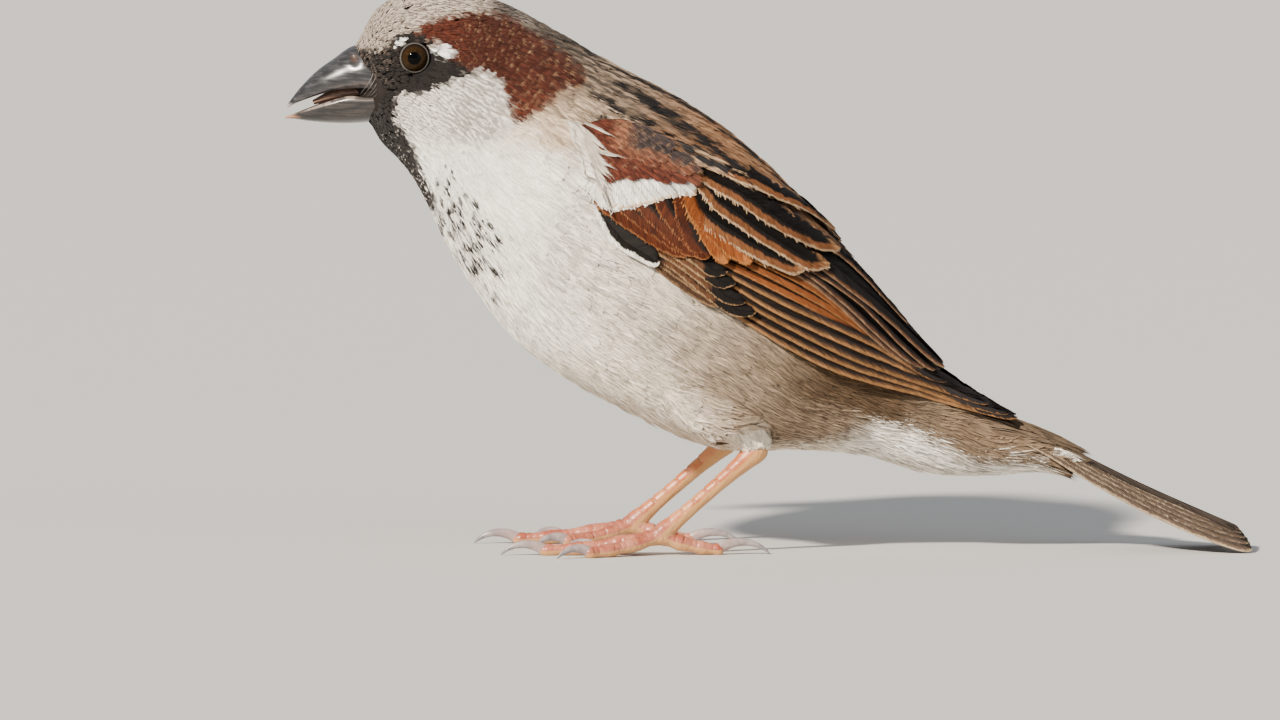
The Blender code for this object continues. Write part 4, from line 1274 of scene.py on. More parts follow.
def buildLids():  # a ring of bare beaded skin round each eye
    grids, faces, bead, first = [], [], [], 0
    rows, columns = 18, 272
    for side in sides:
        share, turn = gridOf(np.linspace(0, 1, rows), turnsOf(columns))
        polar = eyeForm["lidInner"] + (eyeForm["lidOuter"] - eyeForm["lidInner"]) * share
        polar = polar + 2.0 * np.cos(turn - 2.2) - 1.5 * np.cos(2 * turn)
        pearl = np.abs(np.cos(turn * eyeForm["beads"] / 2)) ** 0.6
        firstRow = bell(share - 0.20, 0.13)
        secondRow = bell(share - 0.62, 0.13) * ramp(np.cos(turn + 0.9), 0.1, 0.7)
        rise = 0.02 + 0.13 * firstRow * (0.35 + 0.65 * pearl) + 0.10 * secondRow * pearl + 0.05 * share
        rise = rise - 0.12 * ramp(share, 0.85, 1.0)
        grids.append(eyePoints(side, polar, turn, eyeRadius - eyeForm["cornea"] + rise).reshape(-1, 3))
        bead.append(np.clip(firstRow * (0.15 + 0.85 * pearl) + 0.8 * secondRow * pearl**2, 0, 1).ravel())
        faces += gridFaces(rows, columns, closed=True, first=first)
        first += rows * columns
    material, tree, shader = newMaterial("lidSkin", 0.55, 0.35)
    pale = mixColor(noise(objectPlace(tree), 2600, 3), (0.070, 0.059, 0.050), (0.165, 0.145, 0.12))
    setColor(shader, mixColor(attribute(tree, "bead"), (0.030, 0.026, 0.024), pale))
    obj = meshObject("eyelids", np.concatenate(grids), faces, material)
    setAttributes(obj, bead=np.concatenate(bead))
    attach(obj, "root")


bristles = {"root": (-57.3, 71.6), "tip": (-59.3, 68.4), "count": 5, "spread": 2.2, "radius": 0.034,
            "out": 4.75}


def buildBristles():
    rng = np.random.default_rng(81)
    tubes = []
    for side in sides:
        for k in range(bristles["count"]):
            shift = bristles["spread"] * (k / (bristles["count"] - 1) - 0.5)
            share = np.linspace(0, 1, 9)
            x = bristles["root"][0] + shift + (bristles["tip"][0] - bristles["root"][0]) * share**1.4
            z = bristles["root"][1] - 0.25 * shift + (bristles["tip"][1] - bristles["root"][1]) * share
            y = bristles["out"] + 0.35 * np.sin(share * 2.6) + 0.12 * rng.normal()
            path = together(x + rng.normal(0, 0.05), y * sides[side], z + 0.1 * rng.normal() * share)
            tubes.append(tubeAlong(path, bristles["radius"] * (1 - 0.75 * share), 6))
    material, tree, shader = newMaterial("paleBristle", 0.4, 0.5)
    tone = noise(objectPlace(tree), 600, 2)
    setColor(shader, mixColor(tone, (0.14, 0.12, 0.11), (0.46, 0.42, 0.38)))
    obj = meshObject("gapeBristles", *joinTubes(tubes), material)
    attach(obj, "root")


for side in sides:
    buildEye(side)
buildLids()
buildBristles()
print("eyes, lids and bristles made")


# legs: one scaly skin each, and curved claws

legForm = {"ankle": {"left": (-1.2, 9.6, 15.4), "right": (-5.4, 9.6, 15.4)}, "length": 18.9,
           "ballHeight": 3.0, "ballOut": 0.9, "tipRadius": 0.8, "swell": 0.10, "sink": 0.12, "voxel": 0.17}
tarsusRadii = np.array([[1.75], [1.35], [1.15], [1.08], [1.08], [1.25], [1.6]])
toes = {  # heading outward, length, root radius, claw length
    "inner": (-24.0, 11.6, 1.1, 4.8),
    "middle": (1.0, 18.2, 1.25, 6.2),
    "outer": (26.0, 12.6, 1.1, 5.0),
    "hind": (186.0, 9.6, 1.3, 7.6),
}


def ballPlace(side):
    x, y, z = legForm["ankle"][side]
    rise = z - legForm["ballHeight"]
    run = math.sqrt(legForm["length"] ** 2 - rise**2)
    return np.array([x - run, sides[side] * (y + legForm["ballOut"]), legForm["ballHeight"]])


def toePath(side, toe, count=48):
    heading, length, radius, _ = toes[toe]
    angle = math.radians(heading)
    forward = np.array([-math.cos(angle), sides[side] * math.sin(angle), 0])
    share = np.linspace(0, 1, count)
    rest = legForm["tipRadius"] + (radius - legForm["tipRadius"]) * (1 - share)
    swell = 1 + legForm["swell"] * np.cos(2 * np.pi * 3 * share) + 0.16 * bell(share - 0.9, 0.06)
    swell = swell * np.sqrt(np.maximum(1 - np.clip((share - 0.93) / 0.07, 0, 1) ** 2, 0.04))
    height = rest - legForm["sink"] + (legForm["ballHeight"] - rest) * (1 - share) ** 2.2
    path = ballPlace(side) + forward * (length * share)[:, None]
    path[:, 2] = height
    return path, rest * swell, forward


def buildLeg(side):
    x, y, z = legForm["ankle"][side]
    ankle = np.array([x, sides[side] * y, z])
    ball = ballPlace(side)
    share = np.linspace(-0.11, 1, 44)
    shank = ankle + (ball - ankle) * share[:, None]
    shankRadii = rowAt(tarsusRadii, np.clip(share, 0, 1) * 6)[:, 0]
    shankRadii = shankRadii * np.sqrt(np.maximum(1 - (np.minimum(share, 0) / 0.11) ** 2, 0.04))
    limbs = [(shank, shankRadii, 2.3, 0.86)]
    for toe in toes:
        path, radii, _ = toePath(side, toe)
        limbs.append((path, radii, 1.15, 1.0))
    obj = meshObject("leg_" + side, *joinTubes([tubeAlong(p, r, 20, f) for p, r, _, f in limbs]))
    closeUp(obj, legForm["voxel"], 3)
    points, normals = pointsOf(obj).astype(float) / mm, pointsOf(obj, "normal").astype(float)
    count = len(points)
    nearest = np.full(count, 1e9)
    length, limbOf, facing = np.zeros(count), np.zeros(count, int), np.zeros(count)
    front = unit(np.array([-0.75, 0, 0.65]))
    for index, (path, radii, _, _) in enumerate(limbs):
        along = lengthAlong(path)
        for k in range(len(path) - 1):
            leg = path[k + 1] - path[k]
            t = np.clip(((points - path[k]) @ leg) / (leg @ leg), 0, 1)
            gap = np.linalg.norm(points - path[k] - leg * t[:, None], axis=1) - radii[k]
            better = gap < nearest
            nearest[better] = gap[better]
            length[better] = (along[k] + t * np.linalg.norm(leg))[better]
            limbOf[better] = index
            up = front if index == 0 else upward
            facing[better] = (normals @ up)[better]
    spacing = np.array([limb[2] for limb in limbs])[limbOf]
    phase = (length / spacing) % 1.0
    groove = bell(np.minimum(phase, 1 - phase), 0.07)
    scute = ramp(facing, -0.15, 0.25)
    bumps = 0.06 * np.sin(points[:, 0] * 9) * np.sin(points[:, 1] * 9 + 1) * np.sin(length * 5.5)
    rise = scute * (0.08 * phase - 0.17 * groove) * np.where(limbOf == 0, 0.8, 1.0) + (1 - scute) * bumps
    onFloor = ramp(points[:, 2], 0.05, 0.5)
    points = points + normals * (rise * onFloor)[:, None]
    points[:, 2] = np.maximum(points[:, 2], 0.0)
    obj.data.vertices.foreach_set("co", (points * mm).astype(np.float32).ravel())
    setAttributes(obj, groove=groove * scute, scute=scute, shank=(limbOf == 0) * ramp(points[:, 2], 3.5, 6.5))
    obj.data.materials.append(legMaterial)
    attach(obj, "root")
    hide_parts("tarsus_" + side, "foot_" + side)
    print("leg", side, len(obj.data.polygons), "faces")


def legMaterialMade():
    material, tree, shader = newMaterial("scalySkin", 0.34, 0.5, {
        "Subsurface Weight": 0.12, "Subsurface Radius": (0.0012, 0.0005, 0.0003), "Subsurface Scale": 0.6})
    place = objectPlace(tree)
    tone, fine = noise(place, 420, 4), noise(place, 2400, 3)
    toe = mixColor(mapRange(tone, 0.35, 0.65), (0.36, 0.088, 0.048), (0.54, 0.20, 0.12))
    shank = mixColor(mapRange(tone, 0.35, 0.7), (0.50, 0.135, 0.042), (0.68, 0.29, 0.12))
    color = mixColor(attribute(tree, "shank"), toe, shank)
    sole = mapRange(attribute(tree, "scute"), 0.0, 0.6, 0.75, 0.0)
    color = mixColor(sole, color, (0.60, 0.33, 0.12))
    color = mixColor(attribute(tree, "groove") * 0.55, color, (0.26, 0.085, 0.055))
    setColor(shader, color)
    addBump(shader, fine, 0.5, 0.0001)
    return material


legMaterial = legMaterialMade()


def clawMaterialMade():
    material, tree, shader = newMaterial("clawHorn", 0.28, 0.5)
    tone = noise(objectPlace(tree), 900, 3)
    forward = mapRange(attribute(tree, "forward"), 0.0, 0.8)
    color = mixColor(forward, (0.36, 0.25, 0.23), (0.20, 0.175, 0.185))
    color = mixColor(mapRange(tone, 0.4, 0.7, 0.0, 0.5), color, (0.50, 0.42, 0.40))
    setColor(shader, color)
    addBump(shader, tone, 0.2, 0.0001)
    return material


clawMaterial = clawMaterialMade()
clawForm = {"lean": (32.0, -54.0), "steps": 26, "radius": (0.80, 0.07), "flatten": 0.78}


def buildClaws(side):
    tubes, forwardShare = [], []
    for toe in toes:
        path, _, forward = toePath(side, toe)
        length, steps = toes[toe][3], clawForm["steps"]
        share = np.linspace(0, 1, steps)
        lean = np.radians(clawForm["lean"][0] + (clawForm["lean"][1] - clawForm["lean"][0]) * share)
        step = (length * 1.06 + 0.65) / (steps - 1)
        heading = forward[None, :] * np.cos(lean)[:, None] + upward * np.sin(lean)[:, None]
        start = path[-1] - forward * 0.9 + np.array([0, 0, 0.12])
        points = start + np.concatenate([[[0, 0, 0]], np.cumsum(heading[:-1] * step, axis=0)])
        points[:, 2] -= (points[-1, 2] - 0.08) * share**2
        root, tip = clawForm["radius"]
        radii = root * (1 - share) ** 0.72 + tip
        tubes.append(tubeAlong(points, radii, 16, clawForm["flatten"]))
        forwardShare.append(np.repeat(share, 16))
    obj = meshObject("claws_" + side, *joinTubes(tubes), clawMaterial)
    setAttributes(obj, forward=np.concatenate(forwardShare))
    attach(obj, "root")
    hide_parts(*[f"claw_{toe}_{side}" for toe in toes])


for side in sides:
    buildLeg(side)
    buildClaws(side)


# feather shapes that the coat repeats: a small vane with loose barb ends

def featherShape(name, strands, spread, loose, uneven, seed, segments=3):
    rng = np.random.default_rng(seed)
    points, faces, known = [], [], {"across": [], "along": [], "tone": []}

    def add(point, across, tone):
        points.append(tuple(point))
        for label, value in (("across", across), ("along", point[1]), ("tone", tone)):
            known[label].append(value)

    clump = np.repeat(rng.normal(0, 1, strands), 2)[:strands] * 0.7
    rows = ((0.0, 0.10), (0.25, 0.62), (0.5, 0.86), (0.72, 0.72), (0.86, 0.30))
    for y, width in rows:  # the closed middle of the vane
        for x in (-1.0, 0.0, 1.0):
            add((0.5 * x * width * spread, y, 0.03 * (1 - abs(x))), x * width, -0.6)
    faces += gridFaces(len(rows), 3)
    for k in range(strands):  # then a fan of strands, each bent once
        x = -1 + 2 * (k + 0.5) / strands + rng.normal(0, 0.4 / strands)
        outline = 0.70 + 0.30 * math.sqrt(max(1 - (min(abs(x), 1) * 1.02) ** 2, 0))
        reach = outline * (1 + uneven * rng.uniform(-1, 0.4))
        start = np.array([0.22 * x * spread, 0.22 + 0.16 * rng.random(), 0.03])
        bend = np.array([0.46 * x * spread, 0.55 + 0.08 * rng.random(), 0.045])
        endX = 0.5 * x * spread * (1 + loose * rng.normal(0, 0.25))
        end = np.array([endX, reach, 0.03 + loose * rng.random() * 0.10])
        half = 0.60 / strands * spread * (1 + rng.normal(0, 0.2))
        tilt = rng.normal(0, 0.25)
        first = len(points)
        tone = clump[k] + 0.6 * rng.normal()
        for i in range(segments + 1):
            t = i / segments
            spot = start * (1 - t) ** 2 + 2 * bend * t * (1 - t) + end * t * t
            width = half * (1 - t**2.2) + 0.0004
            for way in (-1, 1) if i < segments else (0,):
                add(spot + way * width * np.array([1, 0, tilt]), float(np.clip(x, -1, 1)) if way else x, tone)
        faces += gridFaces(segments, 2, first=first)
        last = first + 2 * (segments - 1)
        faces.append((last, last + 1, last + 2))
    obj = meshObject(name, np.array(points) / mm, faces)
    setAttributes(obj, rise=[p[2] for p in points], **known)
    obj.data.transform(flattenZ)
    return obj


flattenZ = Matrix(((1, 0, 0, 0), (0, 1, 0, 0), (0, 0, 0, 0), (0, 0, 0, 1)))


def shapeCollection(name, recipes):
    collection = bpy.data.collections.new(name)
    for k, recipe in enumerate(recipes):
        obj = featherShape(f"{name}{k}", *recipe)
        bpy.context.scene.collection.objects.unlink(obj)
        collection.objects.link(obj)
    return collection


fineShapes = shapeCollection("fineFeather", [
    (7, 1.0, 0.25, 0.12, 11, 2), (7, 1.0, 0.35, 0.18, 12, 2), (8, 1.0, 0.45, 0.15, 13, 2)])
crispShapes = shapeCollection("crispFeather", [
    (13, 1.0, 0.10, 0.10, 21), (13, 1.05, 0.14, 0.14, 22), (15, 1.0, 0.20, 0.12, 23)])
hairShapes = shapeCollection("hairFeather", [
    (13, 1.1, 0.35, 0.40, 31), (13, 1.2, 0.45, 0.45, 32), (14, 1.0, 0.40, 0.35, 33)])


# the tree that lays feathers on the skin

def coatTree():
    tree = bpy.data.node_groups.new("layFeathers", "GeometryNodeTree")
    sockets = {"Roots": "Geometry", "Shapes": "Collection", "Skin": "Object", "Patch": "Float",
               "Root height": "Float", "Rise power": "Float", "Material": "Material"}
    for label, kind in sockets.items():
        tree.interface.new_socket(label, in_out="INPUT", socket_type="NodeSocket" + kind)
    tree.interface.new_socket("Coat", in_out="OUTPUT", socket_type="NodeSocketGeometry")
    into, out = tree.nodes.new("NodeGroupInput"), tree.nodes.new("NodeGroupOutput")
    wire = {label: Wire(into, label) for label in sockets}

    def step(kind, feeds, output=0, **settings):
        return Wire(addNode(tree, kind, feeds, **settings), output)

    def named(name, kind="FLOAT_VECTOR"):
        return step("GeometryNodeInputNamedAttribute", {"Name": name}, "Attribute", data_type=kind)

    def join(*parts):
        return step("ShaderNodeCombineXYZ", dict(enumerate(parts)))

    def vectorSum(a, b):
        return step("ShaderNodeVectorMath", {0: a, 1: b}, operation="ADD")

    # each root takes one of the shapes, turned to lie along the coat
    size = addNode(tree, "ShaderNodeSeparateXYZ", {0: named("size")})
    width, length, tipLift = (Wire(size, k) for k in range(3))
    axes = {"Primary Axis": named("outward"), "Secondary Axis": named("lie")}
    turn = step("FunctionNodeAxesToRotation", axes, primary_axis="Z", secondary_axis="Y")
    shapes = step("GeometryNodeCollectionInfo", {"Collection": wire["Shapes"], "Separate Children": True,
                                                 "Reset Children": True})
    laid = step("GeometryNodeInstanceOnPoints", {
        "Points": wire["Roots"], "Instance": shapes, "Pick Instance": True,
        "Instance Index": named("shape", "INT"), "Rotation": turn, "Scale": join(width, length, length)})
    real = step("GeometryNodeRealizeInstances", {"Geometry": laid})

    # every feather then follows the skin, rising from its root to its tip
    skinShape = step("GeometryNodeObjectInfo", {"Object": wire["Skin"]}, "Geometry")
    near = step("GeometryNodeProximity", {"Geometry": skinShape}, "Position", target_element="FACES")
    sample = step("GeometryNodeSampleNearestSurface", {
        "Mesh": skinShape, "Value": step("GeometryNodeInputNormal", {})}, data_type="FLOAT_VECTOR")
    outward = step("ShaderNodeVectorMath", {0: sample}, operation="NORMALIZE")
    along, across, rise = (named(name, "FLOAT") for name in ("along", "across", "rise"))
    ahead = combine("MAXIMUM", 1.0 - along, 0.0)
    lift = (1.0 - combine("POWER", ahead, wire["Rise power"])) * tipLift
    height = lift + wire["Root height"] + rise * length
    place = vectorSum(near, scaled(outward, height))
    moved = step("GeometryNodeSetPosition", {"Geometry": real, "Position": place})

    # each has its own patch of the map, round its root's place on the body's unwrap
    patch = scaled(join(across * 0.5, along - 0.5), wire["Patch"])
    stored = step("GeometryNodeStoreNamedAttribute", {
        "Geometry": moved, "Name": "OFBake", "Value": vectorSum(named("rootUV"), patch)},
        data_type="FLOAT2", domain="CORNER")
    painted = step("GeometryNodeSetMaterial", {"Geometry": stored, "Material": wire["Material"]})
    feed(out.inputs["Coat"], painted)
    return tree


layFeathers = coatTree()
coatColors = ("webColor", "coreColor", "tipColor")


def runTree(obj, tree, values):  # applies a tree to an object and leaves a plain mesh
    modifier = obj.modifiers.new(tree.name, "NODES")
    modifier.node_group = tree
    for item in tree.interface.items_tree:
        if item.in_out == "INPUT" and item.name in values:
            modifier[item.identifier] = values[item.name]
    apply(obj)


def layCoat(name, roots, shapes, rootHeight=0.05, risePower=2.4, skin=None):
    count = len(roots["point"])
    cloud = bpy.data.meshes.new(name)
    cloud.from_pydata((roots["point"] * mm).tolist(), [], [])
    obj = newObject(name, cloud)
    setAttributes(obj, size=roots["size"] * mm, rootUV=np.concatenate([roots["uv"], np.zeros((count, 1))], 1),
                  **{label: roots[label] for label in ("lie", "outward", "shape", "pattern", *coatColors)})
    runTree(obj, layFeathers, {
        "Shapes": shapes, "Skin": skin or skinObject, "Patch": 0.003, "Root height": rootHeight * mm,
        "Rise power": risePower, "Material": coatMaterial})
    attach(obj, "root")
    faces = sum(len(p.vertices) - 2 for p in obj.data.polygons)
    print(f"{name}: {count} feathers, {faces} triangles")
    return obj


def coverRoots(start, end, spacing, seed, keep, jitter=0.16):  # staggered rows of roots round the body
    rng = np.random.default_rng(seed)
    us, turns = [], []
    u, odd = start, False
    ring = np.linspace(0, 2 * np.pi, 181)
    while u < end:
        length = lengthAlong(bodyPoint(u, ring))
        rowStep = 0.8 * spacing(u) / stepLength(u)
        count = max(int(length[-1] / spacing(u)), 6)
        spots = (np.arange(count) + 0.5 * odd + rng.normal(0, jitter, count)) / count % 1 * length[-1]
        turns.append(np.interp(spots, length, ring))
        us.append(u + rng.normal(0, jitter, count) * rowStep)
        u += rowStep
        odd = not odd
    us, turns = np.concatenate(us), np.concatenate(turns)
    chosen = keep(us, turns)
    return us[chosen], turns[chosen], rng


def stepLength(u):  # mm along the side of the body for a step of one station
    a = np.array([0.5, -0.5, 1.57])
    return float(np.linalg.norm(bodyPoint(u + 0.1, a) - bodyPoint(u - 0.1, a), axis=1).mean() / 0.2)


def stationLength(u):  # mm along the body's side for a step of one station, per feather
    known = np.arange(0, 15.0, 0.5)
    return np.interp(u, known, [stepLength(k) for k in known])


def bodyRoots(u, a, rng, size, wander=0.07):  # size: length, width, lift per feather
    point, lie, around, outward = bodyFrame(u, a, -coatDepth(u))
    roots = markings(u + 0.6 * np.asarray(size[0]) / stationLength(u), a, rng)
    turn = rng.normal(0, wander, len(u))
    lie = unit(lie + around * turn[:, None])
    vary = 1 + rng.normal(0, 0.08, (len(u), 1))
    length, width, lift = (np.broadcast_to(np.asarray(s, float), u.shape)[:, None] for s in size)
    roots.update(point=point, lie=lie, outward=outward, uv=unwrap(u, a), shape=rng.integers(0, 3, len(u)))
    lift = lift * (1 + rng.normal(0, 0.03, (len(u), 1)))
    roots["size"] = np.concatenate([width * vary, length * vary, lift], 1)
    return roots


def offEye(u, a, margin=0.15):
    point = bodyPoint(u, a)
    away = np.hypot(point[:, 0] - eyeCentre[0], point[:, 2] - eyeCentre[2])
    return (away > eyeRadius + margin) | (np.abs(point[:, 1]) < 4)


# first and last row; spacing, length and width at the face, and what is added towards the nape
headFeathers = {"rows": (-0.5, 3.4), "spacing": (0.42, 0.055), "length": (1.05, 1.5), "width": (0.42, 0.42),
                "scatter": 0.38, "wander": 0.16, "rootHeight": 0.38}


def headCoat():
    coat = headFeathers

    def keep(u, a):
        return offEye(u, a) & behindBill(u, a)

    def spacing(u):
        return coat["spacing"][0] + coat["spacing"][1] * max(u, 0)

    u, a, rng = coverRoots(*coat["rows"], spacing, 101, keep, coat["scatter"])
    grow = ramp(u, 0.6, 3.6)
    length, width = (coat[part][0] + coat[part][1] * grow for part in ("length", "width"))
    roots = bodyRoots(u, a, rng, (length, width, 0.95 * coatDepth(u) - 0.35), coat["wander"])
    for name, start, end in (("faceCoat", -1, 1.6), ("headCoat", 1.6, 2.6), ("crownCoat", 2.6, 9)):
        chosen = select(roots, (u >= start) & (u < end))
        layCoat(name, chosen, fineShapes, coat["rootHeight"])


def select(roots, chosen):
    return {k: v[chosen] for k, v in roots.items()}


wingGridS, wingGridT = gridOf(np.linspace(-0.4, 8.2, 260), np.linspace(-0.4, 1.3, 90))
wingTree = treeOf(wingSurface(wingGridS, wingGridT).reshape(-1, 3))


def placeOnWing(u, a):  # the wing's own coordinates next to points of the body
    point = bodyPoint(u, a)
    point[:, 1] = np.abs(point[:, 1])
    found = nearestIn(wingTree, point)
    return wingGridS.ravel()[found], wingGridT.ravel()[found]


def clearOfWing(u, a):
    s, t = placeOnWing(u, a)
    lower = np.interp(s, (5.4, 6.2, 7.0, 8.0), (0.93, 0.84, 0.76, 0.6))
    under = (s > 0.35) & (s < 7.9) & (t > 0.05) & (t < lower)
    return ~(under | ((s > 3.9) & (s < 7.9) & (t > -0.12) & (t < lower)))


def lengthToWing(u, a, length):  # shortens feathers that would lie across the wing's tip
    for share in (0.95, 0.75, 0.5):
        s, t = placeOnWing(u + share * length / stationLength(u), a)
        across = (s > 5.6) & (s < 8.1) & (t > -0.3) & (t < np.interp(s, (6.2, 8.0), (0.84, 0.6)))
        length = np.where(across, np.maximum(share * length * 0.75, 2.4), length)
    return length


def overWing(u, a, length):  # extra lift for feathers ahead of the wing whose tips lie on it
    tipU = u + length / stationLength(u)
    s, t = placeOnWing(tipU, a)
    back, _ = placeOnWing(u, a)
    base, _, _, outward = bodyFrame(tipU, a)
    on = wingSurface(np.clip(s, 0, 8), np.clip(t, 0, 1))
    base[:, 1], outward[:, 1] = np.abs(base[:, 1]), np.abs(outward[:, 1])
    height = ((on - base) * outward).sum(1)
    front = (s > -0.35) & (s < np.where(t < 0.5, 0.45, 0.7)) & (t > -0.1) & (t < 0.9) & (back < 0.1)
    pressed = (t > 0.93) & (t < 1.15) & (s > 0.4) & (s < 2.3)
    over = np.where(s < 0, 1.2 * ramp(s, -0.4, -0.1), height + np.where(t < 0.5, 1.35, 0.7))
    over = np.where(front, np.clip(over, 0, 3.0), np.where(pressed, -0.7, 0))
    place = bodyPoint(u, a)
    return np.array([smoothed(over, place, here) for here in place])


def smoothed(values, places, here, radius=1.3):  # the values around one place, the nearest counting most
    weight = np.exp(-(((places - here) ** 2).sum(1)) / radius**2)
    return (weight * values).sum() / weight.sum()


bodyCoats = {  # over the trunk: degrees from the ridge of the back, and what the feathers measure
    "mantle": {"angles": (0, 70), "spacing": 1.08, "seed": 303, "length": 7.2, "width": 2.0},
    "under": {"angles": (66, 181), "spacing": 1.2, "seed": 304, "length": 6.6, "width": 2.4},
}


def bodyCoat(part):  # roots between the neck and the rump, clear of the wing
    coat = bodyCoats[part]

    def keep(u, a):
        top = dorsalAngle(a)
        return clearOfWing(u, a) & (top >= coat["angles"][0]) & (top < coat["angles"][1])

    u, a, rng = coverRoots(5.4, 10.6, lambda u: coat["spacing"], coat["seed"], keep)
    lift = 0.97 * coatDepth(u) + overWing(u, a, coat["length"])
    return u, a, bodyRoots(u, a, rng, (coat["length"], coat["width"], lift))


def trunkCoat():
    u, a, rng = coverRoots(3.4, 5.4, lambda u: 0.64 + 0.26 * (u - 3.4), 202, lambda u, a: u > 0)
    grow = ramp(u, 3.4, 5.6)
    length = 2.6 + 3.4 * grow
    roots = bodyRoots(u, a, rng, (length, 0.95 + 1.3 * grow, 0.97 * coatDepth(u) + overWing(u, a, length)))
    top = dorsalAngle(a)
    layCoat("neckCoat", select(roots, top >= 66), hairShapes)
    layCoat("napeCoat", select(roots, top < 66), crispShapes)

    _, _, roots = bodyCoat("mantle")
    layCoat("mantleCoat", roots, crispShapes, risePower=1.9)
    u, a, roots = bodyCoat("under")
    for name, half in (("Right", np.cos(a) > 0), ("Left", np.cos(a) <= 0)):
        for part, region in (("breast", u < 7.4), ("belly", u >= 7.4)):
            layCoat(part + "Coat" + name, select(roots, half & region), hairShapes)

    u, a, rng = coverRoots(10.6, 14.9, lambda u: 1.15 if u < 12.6 else 0.95, 404, clearOfWing)
    top = dorsalAngle(a)
    flat = 1 - 0.5 * fade(top, 60, 95) * between(u, 11.2, 12.0, 13.0, 13.7)
    length = lengthToWing(u, a, 7.5 + 3.5 * ramp(u, 12.0, 13.2) - 5.5 * ramp(u, 13.8, 14.9))
    roots = bodyRoots(u, a, rng, (length, 2.3 - 0.5 * ramp(u, 12.8, 14.2), 0.95 * coatDepth(u) * flat))
    grounds = {"": (u <= 12.2, skinObject, skinObject), "Rear": (u > 12.2, tailTop, tailUnder)}
    for name, (rear, above, below) in grounds.items():
        upper, lower = select(roots, rear & (top < 80)), select(roots, rear & (top >= 80))
        layCoat("rumpCoat" + name, upper, crispShapes, skin=above)
        layCoat("ventCoat" + name, lower, hairShapes, skin=below)


scapulars = {"width": 3.6, "length": 8.2, "rows": ((0.35, 2.4, -0.24), (0.8, 3.1, -0.10)), "spacing": 0.30,
             "web": (0.24, 0.12, 0.06), "grey": (0.21, 0.17, 0.14), "pale": (0.42, 0.27, 0.16),
             "core": (0.02, 0.017, 0.017)}


def wingRoots(side, s, t, ahead, height):  # roots on the folded wing; ahead is the way they lie, in s and t
    point = wingSheet(s, t, height, side)
    lie = unit(wingSheet(s + ahead[0], t + ahead[1], height, side) - point)
    return {"point": point, "lie": lie, "outward": unit(wingSheet(s, t, height + 1, side) - point)}


def scapularCoat(side, base):  # long feathers of the shoulder that overlap the wing's upper edge
    rng = np.random.default_rng(707)
    places = []
    for start, end, t in scapulars["rows"]:
        for s in np.arange(start, end, scapulars["spacing"]):
            down = 0.04 * (s - start) / (end - start)
            places.append((s + rng.normal(0, 0.04), t + down + rng.normal(0, 0.01)))
    s, t = np.array(places).T
    count, lower = len(s), t > -0.17
    web = blend(scapulars["web"], scapulars["grey"], ramp(rng.random(count), 0.5, 0.8))
    web = np.where((lower & (s > 2.2))[:, None], scapulars["pale"], web)
    light = (1 + rng.normal(0, 0.08, count))[:, None]
    roots = wingRoots(side, s, t, (0.1, 0.006), 0.2)
    roots.update(uv=together(0.02 + s / 9, 0.9 + 0.3 * t), shape=rng.integers(0, 3, count),
                 webColor=web * light, coreColor=np.full((count, 3), scapulars["core"]), tipColor=web * 1.25)
    roots["pattern"] = together(0.30 + 0.25 * rng.random(count), 0.86, rng.random(count))
    roots["size"] = together(scapulars["width"], scapulars["length"], np.where(lower, 1.15, 1.0))
    coat = layCoat("scapulars_" + side, roots, crispShapes, rootHeight=0.9, risePower=1.6, skin=base)


thighFeathers = {"count": 620, "length": (5.4, -2.6), "width": (1.5, -0.75), "lift": 0.95}


def thighCoat():
    coat, count = thighFeathers, thighFeathers["count"]
    for side in sides:
        rng = np.random.default_rng(505)
        share, turn = rng.random(count) ** 0.85 * 0.98, rng.random(count) * 2 * np.pi
        point, along, outward = thighFrame(side, share, turn, -thighs["depth"])
        u, a = nearestOnBody(point)
        roots = markings(u, a, rng)
        white = over(plumage["belly"], "flank", 0.5 * ramp(point[:, 0], -2, 3))
        for label in coatColors:
            roots[label] = white * (0.9 if label == "coreColor" else 1)
        roots["pattern"][:, :2] = (0.1, 2.0)
        grow = ramp(share, 0.3, 1)
        length = (coat["length"][0] + coat["length"][1] * grow) * (1 + rng.normal(0, 0.15, count))
        width = coat["width"][0] + coat["width"][1] * grow
        lift = coat["lift"] + rng.normal(0, 0.12, count)
        lie = unit(along + rng.normal(0, 0.13, (count, 3)))
        roots.update(point=point, lie=lie, outward=outward, uv=unwrap(u, a), shape=rng.integers(0, 3, count),
                     size=together(width, length, lift))
        layCoat("thighCoat_" + side, roots, crispShapes)


lesserArea = ((-0.26, 0.0), (0.1, -0.18), (0.7, -0.24), (2.0, -0.10), (2.65, 0.04), (2.35, 0.15),
              (1.65, 0.245), (0.95, 0.31), (0.55, 0.38), (0.28, 0.36), (0.0, 0.24), (-0.2, 0.12))


